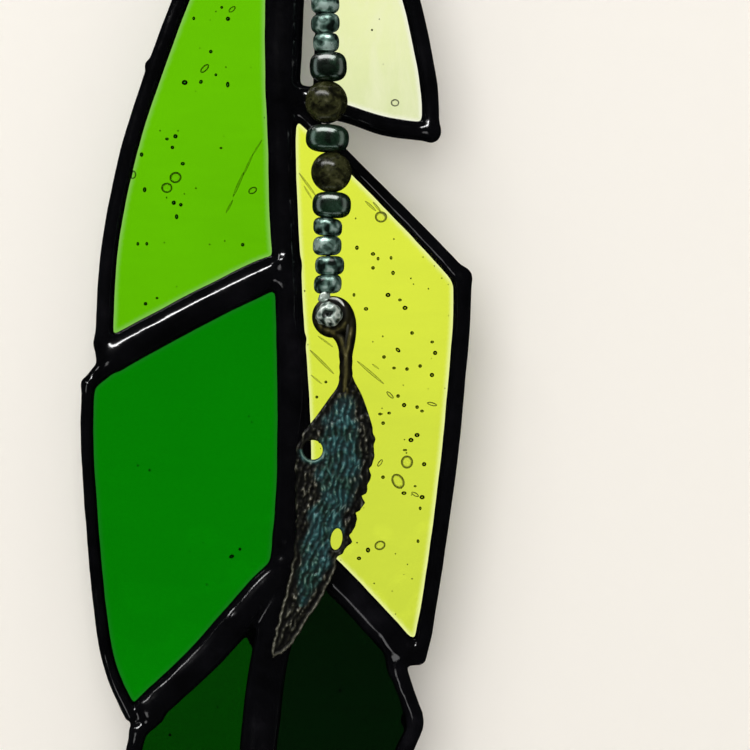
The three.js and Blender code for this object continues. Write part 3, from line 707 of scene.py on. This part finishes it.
def bead(node, kind, number):
    V, c = place_of(node)
    if kind == "end":
        axis = np.array([0, 1.0, 0])
    else:
        i = int(np.clip(np.abs(fall[:, 2] - c[2]).argmin(), 1, len(fall) - 2))
        axis = fall[i - 1] - fall[i + 1]
        if node == "barrel_bead_2":
            axis = axis @ np.array([[math.cos(0.1), 0, -math.sin(0.1)], [0, 1, 0], [math.sin(0.1), 0, math.cos(0.1)]])
    axis = axis / np.linalg.norm(axis)
    c = V.mean(0) if abs((V.mean(0) - c) @ axis) < 0.3 else c
    along = (V - c) @ axis
    radial = np.linalg.norm((V - c) - along[:, None] * axis, axis=1)
    h, R, bore = np.abs(along).max(), radial.max(), 0.62
    h = {"seed": 1.1 * h, "barrel": 1.08 * h, "stone": 0.985 * R, "end": 1.2 * h}[kind]
    if kind == "end":
        R, bore = 1.05 * R, 0.3
    rng = np.random.default_rng(500 + number)
    t = np.linspace(-math.pi / 2, math.pi / 2, 27)
    if kind == "stone":
        top = math.acos(bore / R)
        t = np.linspace(-top, top, 31)
        r, s = R * np.cos(t), h / math.sin(top) * np.sin(t)
    else:
        k = {"seed": 2 / 2.7, "barrel": 2 / 2.6, "end": 2 / 2.1}[kind]
        r = bore + (R - bore) * np.abs(np.cos(t)) ** k
        s = h * np.sign(np.sin(t)) * np.abs(np.sin(t)) ** k
    r, s = np.append(r, [bore, bore, bore]), np.append(s, [h * 0.5, 0, -h * 0.5])
    around = 56 if kind != "seed" else 44
    a = np.linspace(0, 2 * math.pi, around, endpoint=False)
    side = np.cross(axis, [0, 1, 0] if abs(axis[1]) < 0.8 else [1, 0, 0])
    side /= np.linalg.norm(side)
    other = np.cross(axis, side)
    wob = {"seed": 0.025, "barrel": 0.012, "stone": 0.006, "end": 0.05}[kind]
    lump = 1 + wob * (np.sin(2 * a + rng.uniform(0, 6)) + 0.6 * np.sin(3 * a + rng.uniform(0, 6))) / 1.6
    tilt = rng.uniform(-0.06, 0.06, 2) if kind == "seed" else (0, 0)
    P = []
    for rr, ss in zip(r, s):
        g = rr * np.where(rr > bore + 0.05, lump, 1)
        up = ss + (tilt[0] * np.cos(a) + tilt[1] * np.sin(a)) * rr
        P.append(c + g[:, None] * (np.cos(a)[:, None] * side + np.sin(a)[:, None] * other) + up[:, None] * axis)
    P = np.vstack(P)
    if kind == "end":
        out = P - c
        d = np.linalg.norm(out, axis=1)
        ridge = np.array([1 - 2.6 * abs(noise.noise(Vector(p * 0.9 + 3))) for p in P])
        move = np.array([noise.noise(Vector(p * 0.7 + 7)) for p in P]) * 1.3 + 0.6 * (ridge - 0.45)
        P = P + out / d[:, None] * (0.26 * move * np.clip((d - bore) / 0.5, 0, 1))[:, None]
        # colour height: darker between the ridges, with a dark spot painted beside the painted highlight
        relief_of["nugget"] = ridge - 1.3 * np.exp(-(((P[:, 0] - 2.97) ** 2 + (P[:, 2] + 104.58) ** 2) / 0.09))
    m = len(r)
    faces = []
    for i in range(m):
        j = (i + 1) % m
        for k in range(around):
            n = (k + 1) % around
            faces.append((i * around + k, i * around + n, j * around + n, j * around + k))
    return P, faces


def outward_faces(verts, faces):
    """The faces, turned outwards if the solid that they close has a negative volume."""
    total = 0.0
    for q in faces:
        a = verts[q[0]]
        for i in range(1, len(q) - 1):
            total += float(np.dot(a, np.cross(verts[q[i]], verts[q[i + 1]])))
    return faces if total > 0 else [tuple(reversed(q)) for q in faces]


f = Finish("lustre_glass_bead", Metallic=0.6, IOR=1.6, Coat_Weight=0.8, Coat_Roughness=0.16)
blotch, vein = f.noise(0.62, 1.0, 0.5, 0.5), f.noise(1.1, 1.0, 0.5, 0.4)
both = f.math("ADD", f.math("MULTIPLY", blotch, 0.75), f.math("MULTIPLY", vein, 0.25))
f.colour(f.ramp(both, (0.40, (0.005, 0.013, 0.009)), (0.46, (0.05, 0.105, 0.082)), (0.53, (0.20, 0.34, 0.285)), (0.62, (0.58, 0.78, 0.71))))
f.rough(f.span(vein, 0.3, 0.7, 0.22, 0.38))
f.bump(blotch, 0.3, 0.3)
SEED = f.mat

f = Finish("gunmetal_bead", Metallic=0.5, IOR=1.7, Coat_Weight=0.9, Coat_IOR=1.7, Coat_Roughness=0.2)
cloud = f.noise(0.45, 2, 0.5, 0.5)
f.colour(f.ramp(cloud, (0.35, (0.001, 0.007, 0.002)), (0.55, (0.007, 0.034, 0.014)), (0.72, (0.035, 0.09, 0.055))))
f.rough(f.span(f.noise(1.2, 2, 0.5), 0.3, 0.7, 0.2, 0.34))
f.bump(f.noise(0.7, 2, 0.5), 0.16, 0.14)
BARREL = f.mat

f = Finish("brown_stone", IOR=1.5, Specular_IOR_Level=0.5)
grain, blotch = f.noise(1.6, 3, 0.6), f.noise(0.36, 3, 0.6, 1.4)
both = f.math("ADD", f.math("MULTIPLY", blotch, 0.72), f.math("MULTIPLY", grain, 0.28))
f.colour(f.ramp(both, (0.37, (0.002, 0.002, 0.0008)), (0.46, (0.010, 0.0105, 0.0035)), (0.56, (0.032, 0.034, 0.011)), (0.70, (0.085, 0.085, 0.036))))
f.rough(f.span(grain, 0.3, 0.7, 0.14, 0.3))
f.bump(grain, 0.14, 0.1)
STONE = f.mat

f = Finish("silver_nugget", Metallic=0.25, IOR=1.6, Coat_Weight=0.6, Coat_Roughness=0.14)
spot = f.noise(1.1, 2, 0.5)
both = f.math("ADD", f.attribute("relief"), f.math("MULTIPLY", f.math("SUBTRACT", spot, 0.5), 0.9))
f.colour(f.ramp(both, (0.0, (0.015, 0.022, 0.018)), (0.2, (0.12, 0.17, 0.145)), (0.5, (0.29, 0.37, 0.32)), (0.9, (0.66, 0.74, 0.67))))
f.rough(f.span(spot, 0.3, 0.7, 0.18, 0.36))
f.bump(spot, 0.25, 0.25)
NUGGET = f.mat

number = 0
for kind, mat, slot, count in (("seed", SEED, "seed_bead", 25), ("barrel", BARREL, "barrel_bead", 3), ("stone", STONE, "stone_bead", 2)):
    for i in range(1, count + 1):
        node = f"{kind}_bead_{i:02d}" if kind == "seed" else f"{kind}_bead_{i}"
        number += 1
        verts, faces = bead(node, kind, number)
        piece(mesh_object(f"{kind}_{i:02d}", verts, outward_faces(verts, faces), mat), slot, node)
verts, faces = bead("end_bead", "end", 99)
faces = outward_faces(verts, faces)
knot_v, knot_f = cavity(2.95, -7.25, -102.05, 0.92, 0.66, 0.64, 0.5, 36, 22)  # the twisted end above it
knot_v = knot_v + np.array([noise.noise_vector(Vector(p * 1.5)) for p in knot_v]) * 0.36
highlight_lump_v, highlight_lump_f = cavity(3.45, -9.28, -105.27, 0.52, 0.3, 0.26, -0.6, 24, 14)  # a small lump painted bright: a painted highlight
verts, faces = merged((verts, faces), (knot_v, outward_faces(knot_v, knot_f)), (highlight_lump_v, outward_faces(highlight_lump_v, highlight_lump_f)))
nugget = piece(mesh_object("nugget", verts, faces, NUGGET), "end_bead", "end_bead")
# the lump gets 1.3, the top of the colour ramp: a painted highlight
values = np.concatenate([relief_of["nugget"], np.full(len(knot_v), 0.62), np.full(len(highlight_lump_v), 1.3)])
nugget.data.attributes.new("relief", "FLOAT", "POINT").data.foreach_set("value", values.astype(np.float32))

# ---------------------------------------------------------------- charm
TIP = [-4.15, -151.9]
left = through([[5.1, -112.7], [4.78, -114.3], [3.6, -116.0], [1.96, -118.3], [-0.54, -121.75], [-0.95, -124.5], [-1.02, -129.6], [-0.95, -134.2], [-1.6, -139.2], [-3.4, -146.6], [-4.3, -150.6], TIP], 9)
right = [*through([[6.75, -112.7], [7.15, -113.7], [8.1, -115.5], [9.2, -118.6], [9.8, -120.9], [9.9, -123.8]], 8)]
for x, z in [[9.1, -125.7], [8.3, -129.5], [7.3, -131.8], [6.45, -134.9]]:
    right += [np.array(p) for p in ([x + 0.4, z + 0.35], [x, z], [x + 0.25, z - 0.9])]
right += [*through([[6.1, -136.7], [4.85, -137.95], [4.45, -139.5], [3.05, -142.8], [0.7, -146.5], [-1.9, -150.4], TIP], 9)]
outline = np.vstack([left, np.array(right)[::-1][1:]])
outline = resampled(outline, 0.3)
ragged = 0.09 * waves(outline, 2.1, 71, 2)[:, None]
side_dir = np.roll(outline, -1, 0) - np.roll(outline, 1, 0)
side_dir = np.stack([-side_dir[:, 1], side_dir[:, 0]], 1) / np.maximum(np.linalg.norm(side_dir, axis=1), 1e-6)[:, None]
outline = outline + side_dir * np.where(outline[:, 1:2] < -120, ragged, 0)


def oval(x, z, rx, rz, turn, n=40):
    t = np.linspace(0, 2 * math.pi, n, endpoint=False)
    u, v = rx * np.cos(t), rz * np.sin(t)
    return np.column_stack([x + u * math.cos(turn) - v * math.sin(turn), z + u * math.sin(turn) + v * math.cos(turn)])


holes = [oval(1.39, -123.1, 1.35, 1.35, 0), oval(4.63, -135.4, 0.8, 1.5, -0.15)]
SHAFT = through([[5.95, -112.4], [5.53, -116.2], [5.15, -122], [4.2, -129], [2.6, -134.4], [-0.3, -143.2], [-3.3, -150.4], [-4.2, -152.6]], 10)
run = np.append(0, np.cumsum(np.linalg.norm(np.diff(SHAFT, axis=0), axis=1)))


def shaft_frame(V):
    best, s, d = np.full(len(V), 1e9), np.zeros(len(V)), np.zeros(len(V))
    for i, (a, b) in enumerate(zip(SHAFT[:-1], SHAFT[1:])):
        e = b - a
        t = np.clip(((V - a) @ e) / (e @ e), 0, 1)
        off = V - a - t[:, None] * e
        dist = np.linalg.norm(off, axis=1)
        near = dist < best
        best[near] = dist[near]
        s[near] = (run[i] + t * np.linalg.norm(e))[near]
        d[near] = (np.sign(e[0] * off[:, 1] - e[1] * off[:, 0]) * dist)[near]
    return s, d


def charm_relief(V):
    """Braided strands, raised rim and hole rims, 0 low to 1 high, and the distance to the edge."""
    s, d = shaft_frame(V)
    edge = to_loops([outline, *holes], V)
    fray, fray2 = waves(V, 5.0, 81, 2), waves(V, 4.1, 83, 2)
    q1 = d / 0.88 + 0.17 * s + 0.22 * fray
    q2 = d / 0.88 - 0.20 * s + 0.24 * fray2
    one, two = (0.5 + 0.5 * np.cos(2 * math.pi * q1)) ** 2.2, (0.5 + 0.5 * np.cos(2 * math.pi * q2)) ** 2.2
    knot = 0.5 + 0.5 * np.cos(2 * math.pi * (s / 0.92 + 0.37 * np.round(q1) + 0.4 * fray2))
    speck = np.clip(0.5 + 0.5 * waves(V, 1.7, 85, 2), 0, 1)
    relief = np.maximum(one * (0.28 + 0.72 * knot), 0.9 * two * (0.25 + 0.75 * speck)) * (0.6 + 0.5 * speck)
    low = np.clip((-135.0 - V[:, 1]) / 5.0, 0, 1)
    outer = to_loops([outline], V)
    rim = np.exp(-(((outer - 0.22) / 0.19) ** 2)) * (0.12 + 0.88 * low) * (0.8 + 0.2 * knot)
    trench = 1 - 0.75 * np.exp(-(((outer - 0.62) / 0.26) ** 2))
    # the rim of the upper hole is raised and lighter, more so on its lower side: partly a real raised rim, partly a
    # painted highlight there
    ring = np.exp(-(((to_loops(holes, V) - 0.26) / 0.2) ** 2)) * (0.35 + 0.65 * np.clip((-122.7 - V[:, 1]) / 0.8, 0, 1) * (V[:, 1] > -127))
    return np.maximum.reduce([np.clip(relief, 0, 1) * trench, rim, ring]), edge, d


def charm_front(V):
    relief, edge, d = charm_relief(V)
    round_off = np.sqrt(np.clip(1 - (1 - np.clip(edge / 0.35, 0, 1)) ** 2, 0, 1))
    belly = 0.16 * np.clip(edge / 3.0, 0, 1)
    return -6.0 - (0.22 + 0.33 * round_off + belly + 0.27 * relief * np.clip(edge / 0.12, 0, 1))


def charm_back(V):
    edge = to_loops([outline, *holes], V)
    return -6.0 + 0.2 + 0.38 * np.sqrt(np.clip(1 - (1 - np.clip(edge / 0.5, 0, 1)) ** 2, 0, 1)) + 0.03 * waves(V, 2.5, 88, 2)


vane_v, vane_f = sheet_mesh([outline, *holes], 0.19, charm_front, charm_back)
LOOP = np.array([4.08, -104.75])
ring_path, ring_r = [], []
for t in np.radians(np.linspace(-58, 300, 72)):
    swell = 0.5 + 0.5 * math.cos(t + math.radians(30))  # thickest at the lower right
    reach = 2.12 - 0.2 * swell
    ring_path.append([LOOP[0] + reach * math.cos(t), -6.0, LOOP[1] + reach * math.sin(t)])
    ring_r.append(0.7 + 0.34 * swell)
ring_v, ring_f = tube(np.array(ring_path[:-1]), ring_r[:-1], 20, True)
stem_line = through([[3.1, -106.5, 0.45], [4.5, -107.1, 0.7], [5.6, -108.5, 0.84], [5.92, -110.6, 0.9], [5.93, -112.6, 0.9], [5.85, -114.4, 0.75], [5.6, -116.6, 0.3]], 7)
stem_v, stem_f = tube(np.column_stack([stem_line[:, 0], np.full(len(stem_line), -6.05), stem_line[:, 1]]), stem_line[:, 2], 18)
arm_line = through([[5.0, -102.75, 0.5], [6.0, -103.6, 0.66], [6.5, -105.0, 0.76], [6.56, -106.4, 0.82], [6.38, -107.9, 0.86], [6.05, -109.6, 0.86], [5.95, -111.4, 0.75]], 6)
arm_v, arm_f = tube(np.column_stack([arm_line[:, 0], np.full(len(arm_line), -6.02), arm_line[:, 1]]), arm_line[:, 2], 18)
stem_v = np.column_stack([stem_v[:, 0] + 0.05 * waves(stem_v, 1.8, 91, 2), stem_v[:, 1] * 1.0, stem_v[:, 2]])
# A painted highlight: a bright line along the inner side of the curl that runs out down the stem, painted near white.
highlight_line = through([[3.6, -102.2, 0.12], [4.7, -102.35, 0.2], [5.45, -103.0, 0.24], [5.95, -104.1, 0.24], [6.15, -105.4, 0.22], [6.12, -106.8, 0.2], [5.9, -108.4, 0.18], [5.7, -110.4, 0.14]], 7)
highlight_depth = np.interp(highlight_line[:, 1], [-111, -108, -106, -104.5, -102], [-6.86, -6.80, -6.72, -6.7, -6.62])
highlight_v, highlight_f = tube(np.column_stack([highlight_line[:, 0], highlight_depth, highlight_line[:, 1]]), highlight_line[:, 2], 12)

f = Finish("verdigris_bronze", Metallic=0.25, IOR=1.5)
relief, rim, worn, stem = f.attribute("relief"), f.attribute("brown"), f.attribute("worn"), f.attribute("stem")
patch, fine = f.noise(0.4, 3, 0.6, 0.5), f.noise(2.4, 4, 0.65)
# hill follows the relief height, and on the curl and stem the painted shading
hill = f.math("ADD", relief, f.math("MULTIPLY", f.math("SUBTRACT", fine, 0.5), 0.4))
teal = f.ramp(hill, (0.05, (0.008, 0.027, 0.029)), (0.35, (0.019, 0.080, 0.086)), (0.62, (0.038, 0.145, 0.148)), (0.95, (0.13, 0.29, 0.28)))
green = f.ramp(hill, (0.05, (0.004, 0.013, 0.0095)), (0.38, (0.014, 0.052, 0.039)), (0.66, (0.042, 0.122, 0.094)), (0.95, (0.18, 0.30, 0.24)))
brown = f.ramp(hill, (0.08, (0.002, 0.0019, 0.0015)), (0.42, (0.017, 0.0172, 0.0105)), (0.7, (0.085, 0.084, 0.06)), (0.95, (0.3, 0.29, 0.235)))
olive = f.ramp(hill, (0.08, (0.002, 0.0017, 0.0006)), (0.42, (0.016, 0.0145, 0.0032)), (0.7, (0.080, 0.070, 0.014)), (0.95, (0.26, 0.23, 0.10)))
patina = f.mix(f.span(patch, 0.40, 0.54, 0, 1), green, teal)
# the near-white colour mixed in here is the painted highlight along the curl
f.colour(f.mix(worn, f.mix(stem, f.mix(rim, patina, brown), olive), (0.95, 0.97, 0.90)))
f.rough(f.span(fine, 0.3, 0.7, 0.28, 0.5))
f.bump(fine, 0.3, 0.12)
CHARM = f.mat

verts, faces = merged((vane_v, vane_f), *[(v, outward_faces(v, q)) for v, q in ((ring_v, ring_f), (stem_v, stem_f), (arm_v, arm_f), (highlight_v, highlight_f))])
charm = mesh_object("charm", verts, faces, CHARM)
V = np.asarray(verts)[:, [0, 2]]
n_vane = len(vane_v)
high, edge, d = charm_relief(V[:n_vane])
# Painted shading of the round curl and stem: dark at their sides and painted lighter along the middle, fading out
# towards the top of the curl.
rod_line = np.vstack([np.array(ring_path)[:, [0, 2]], stem_line[:, :2], arm_line[:, :2]])
off = np.array([np.linalg.norm(rod_line - v, axis=1).min() for v in V[n_vane:]])
painted_rod_shade = 0.12 + 0.62 * np.exp(-((off / 0.34) ** 2)) * np.clip((-103.5 - V[n_vane:, 1]) / 3.0, 0.1, 1) + 0.14 * waves(V[n_vane:] * [2.2, 0.5], 2.0, 93, 2)
relief_and_rod_shade = np.append(high, np.clip(painted_rod_shade, 0.05, 0.9))
core = np.array([at_px(x, y, -6.7) for x, y in ((345, 404), (341, 430), (339, 466), (333, 502), (318, 545), (310, 575), (303, 600))])
reach = np.array([10, 17, 20, 15, 15, 12, 5]) * 0.1376
gap = np.full(n_vane, 9.0)
for a, b, ra, rb in zip(core[:-1], core[1:], reach[:-1], reach[1:]):
    e = b - a
    t = np.clip(((V[:n_vane] - a) @ e) / (e @ e), 0, 1)
    gap = np.minimum(gap, np.linalg.norm(V[:n_vane] - a - t[:, None] * e, axis=1) / (ra + t * (rb - ra)))
teal_part = np.clip((1.25 - gap + 0.16 * waves(V[:n_vane], 3.4, 95, 2)) / 0.5, 0, 1)
arc = np.exp(-(((to_loops(holes[:1], V[:n_vane]) - 0.3) / 0.35) ** 2)) * (V[:n_vane, 1] < -123)
brown_all = np.append(1 - np.maximum(teal_part, arc), np.ones(len(V) - n_vane))
highlight_all = np.zeros(len(V))
# the painted highlight is brightest near the top of the curl and fades out down the stem
highlight_all[-len(highlight_v):] = np.interp(np.asarray(highlight_v)[:, 2], [-110.5, -107.5, -105.8, -104.6, -103.4, -102], [0.0, 0.02, 0.08, 0.4, 0.95, 0.8])
stem_all = np.append(np.clip((V[:n_vane, 1] + 117.5) / 2.5, 0, 1), np.ones(len(V) - n_vane))
for name, values in (("relief", relief_and_rod_shade), ("brown", brown_all), ("worn", highlight_all), ("stem", stem_all)):
    charm.data.attributes.new(name, "FLOAT", "POINT").data.foreach_set("value", values.astype(np.float32))
piece(charm, "charm_metal", "feather_charm")


# ---------------------------------------------------------------- stage, light and camera
def plain(name, build):
    mat = bpy.data.materials.new(name)
    mat.use_nodes = True
    t = mat.node_tree
    t.nodes.clear()
    out = t.nodes.new("ShaderNodeOutputMaterial")
    build(t, out)
    return mat


def quad(name, corners, mat):
    me = bpy.data.meshes.new(name)
    me.from_pydata(corners, [], [(0, 1, 2, 3)])
    me.materials.append(mat)
    ob = bpy.data.objects.new(name, me)
    scene.collection.objects.link(ob)
    return ob


def paper(t, out):
    d = t.nodes.new("ShaderNodeBsdfDiffuse")
    d.inputs["Color"].default_value = (0.93, 0.895, 0.835, 1)
    e = t.nodes.new("ShaderNodeEmission")
    e.inputs["Color"].default_value = (0.93, 0.90, 0.86, 1)
    e.inputs["Strength"].default_value = 0.14
    add = t.nodes.new("ShaderNodeAddShader")
    t.links.new(d.outputs[0], add.inputs[0])
    t.links.new(e.outputs[0], add.inputs[1])
    clear = t.nodes.new("ShaderNodeBsdfTransparent")
    facing = t.nodes.new("ShaderNodeNewGeometry")
    mix = t.nodes.new("ShaderNodeMixShader")
    t.links.new(facing.outputs["Backfacing"], mix.inputs[0])
    t.links.new(add.outputs[0], mix.inputs[1])
    t.links.new(clear.outputs[0], mix.inputs[2])
    t.links.new(mix.outputs[0], out.inputs["Surface"])


def glow(t, out):
    e = t.nodes.new("ShaderNodeEmission")
    e.inputs["Color"].default_value = (0.97, 0.965, 0.95, 1)
    ray = t.nodes.new("ShaderNodeLightPath")
    direct = t.nodes.new("ShaderNodeMath")
    direct.operation = "LESS_THAN"
    direct.inputs[1].default_value = 0.5
    t.links.new(ray.outputs["Glossy Depth"], direct.inputs[0])
    t.links.new(direct.outputs[0], e.inputs["Strength"])
    t.links.new(e.outputs[0], out.inputs["Surface"])


def pale(t, out):
    d = t.nodes.new("ShaderNodeBsdfDiffuse")
    d.inputs["Color"].default_value = (0.86, 0.83, 0.77, 1)
    t.links.new(d.outputs[0], out.inputs["Surface"])


WALL_Y = 0.0105
wall = quad("wall", [(-0.6, WALL_Y, -0.26), (0.6, WALL_Y, -0.26), (0.6, WALL_Y, 0.4), (-0.6, WALL_Y, 0.4)], plain("paper", paper))
back_light = quad("light_table", [(-0.25, WALL_Y - 0.0006, -0.25), (0.25, WALL_Y - 0.0006, -0.25), (0.25, WALL_Y - 0.0006, 0.2), (-0.25, WALL_Y - 0.0006, 0.2)], plain("glow", glow))
for flag in ("camera", "diffuse", "glossy", "shadow", "volume_scatter"):
    setattr(back_light, "visible_" + flag, False)
floor = quad("floor", [(-1.5, -1.5, -0.26), (1.5, -1.5, -0.26), (1.5, 1.5, -0.26), (-1.5, 1.5, -0.26)], plain("floor", pale))

floor.visible_glossy = wall.visible_glossy = wall.visible_diffuse = False

CENTRE = Vector((-0.002, 0, -0.112))


def softbox(name, azimuth, polar, distance, width, height, power, glossy=True, diffuse=True, colour=(1, 1, 1), only=None):
    """An area light aimed at the middle. Azimuth turns about the view axis from +X, polar is the angle off that axis."""
    a, p = math.radians(azimuth), math.radians(polar)
    data = bpy.data.lights.new(name, "AREA")
    data.shape = "RECTANGLE"
    data.size, data.size_y = width, height
    data.energy = power
    data.color = colour
    ob = bpy.data.objects.new(name, data)
    way = Vector((math.sin(p) * math.cos(a), -math.cos(p), math.sin(p) * math.sin(a)))
    ob.location = CENTRE + way * distance
    ob.rotation_euler = way.to_track_quat("Z", "Y").to_euler()
    ob.visible_camera = False
    ob.visible_glossy, ob.visible_diffuse = glossy, diffuse
    ob.visible_transmission = False
    if only:
        ob.light_linking.receiver_collection = only
    scene.collection.objects.link(ob)
    return ob


# Each softbox for reflections is aimed at the pieces that it is set up for.
METAL, BARRELS, SEEDS, REST = [bpy.data.collections.new(n) for n in ("lit_solder", "lit_barrels", "lit_seeds", "lit_rest")]
LIT = {"solder": METAL, "ring": METAL, "barrel": BARRELS, "seed": SEEDS, "nugget": SEEDS, "stone": REST, "wire": REST, "charm": REST, "pane": REST}
for ob in list(scene.collection.objects):
    if ob.type == "MESH" and ob.name.split("_")[0] in LIT:
        LIT[ob.name.split("_")[0]].objects.link(ob)

softbox("soft", 140, 13, 1.2, 0.98, 0.98, 6.6, glossy=False)
softbox("fill", 106, 50, 0.9, 0.70, 0.26, 2.0, glossy=False)
softbox("strip", 125, 33, 0.9, 0.30, 0.10, 3.0, diffuse=False, only=METAL)
softbox("spark", 141.3, 54.5, 0.9, 0.07, 0.14, 0.4, diffuse=False, only=METAL)
softbox("glint", 225, 32, 0.9, 0.24, 0.24, 0.42, diffuse=False, only=METAL)
softbox("key", 112, 55, 0.8, 1.0, 0.16, 4.6, diffuse=False, only=REST)
softbox("top_barrel", 98, 64, 0.6, 1.0, 0.44, 9.5, diffuse=False, only=BARRELS)
softbox("top_seed", 100, 58, 0.6, 0.9, 0.42, 4.2, diffuse=False, only=SEEDS)
softbox("left", 180, 86, 0.5, 0.22, 0.75, 0.62, diffuse=False, colour=(0.80, 1.0, 0.94), only=BARRELS)
softbox("right", 0, 86, 0.5, 0.24, 0.75, 0.5, diffuse=False, colour=(0.88, 1.0, 0.90), only=BARRELS)
softbox("low", 270, 88, 0.5, 0.75, 0.24, 0.6, diffuse=False, colour=(0.84, 1.0, 0.95), only=BARRELS)

world = bpy.data.worlds.new("studio")
scene.world = world
world.use_nodes = True
t = world.node_tree
t.nodes.clear()
out = t.nodes.new("ShaderNodeOutputWorld")
path = t.nodes.new("ShaderNodeLightPath")
soft_bg, dark_bg, seen_bg = [t.nodes.new("ShaderNodeBackground") for _ in range(3)]
soft_bg.inputs[0].default_value, soft_bg.inputs[1].default_value = (1.0, 0.985, 0.97, 1), 0.30
seen_bg.inputs[0].default_value, seen_bg.inputs[1].default_value = (0.93, 0.91, 0.86, 1), 0.95
dark_bg.inputs[1].default_value = 1.0
where = t.nodes.new("ShaderNodeTexCoord")
split = t.nodes.new("ShaderNodeSeparateXYZ")
half = t.nodes.new("ShaderNodeMapRange")
half.inputs["From Min"].default_value, half.inputs["From Max"].default_value = -1, 1
belt = t.nodes.new("ShaderNodeValToRGB")
belt.color_ramp.interpolation = "EASE"
stops = belt.color_ramp.elements
for _ in range(3):
    stops.new(0.5)
for stop, (at, level) in zip(stops, ((0.0, 0.012), (0.22, 0.010), (0.46, 0.022), (0.6, 0.022), (0.78, 0.006))):
    stop.position, stop.color = at, (level * 0.92, level * 0.97, level, 1)
t.links.new(where.outputs["Generated"], split.inputs[0])
t.links.new(split.outputs["Y"], half.inputs["Value"])
t.links.new(half.outputs[0], belt.inputs["Fac"])
t.links.new(belt.outputs["Color"], dark_bg.inputs[0])
m1, m2 = t.nodes.new("ShaderNodeMixShader"), t.nodes.new("ShaderNodeMixShader")
t.links.new(path.outputs["Is Diffuse Ray"], m1.inputs[0])
t.links.new(seen_bg.outputs[0], m1.inputs[1])
t.links.new(soft_bg.outputs[0], m1.inputs[2])
t.links.new(path.outputs["Is Glossy Ray"], m2.inputs[0])
t.links.new(m1.outputs[0], m2.inputs[1])
t.links.new(dark_bg.outputs[0], m2.inputs[2])
t.links.new(m2.outputs[0], out.inputs["Surface"])

camera = bpy.data.cameras.new("camera")
camera.lens, camera.sensor_width = 135, 36
camera.clip_start, camera.clip_end = 0.01, 20
eye = bpy.data.objects.new("camera", camera)
eye.location = (0.00994, -0.39375, -0.112784)
eye.rotation_euler = (math.pi / 2, 0, 0)
scene.collection.objects.link(eye)
scene.camera = eye
scene.view_settings.view_transform = "Standard"
scene.view_settings.look = "None"
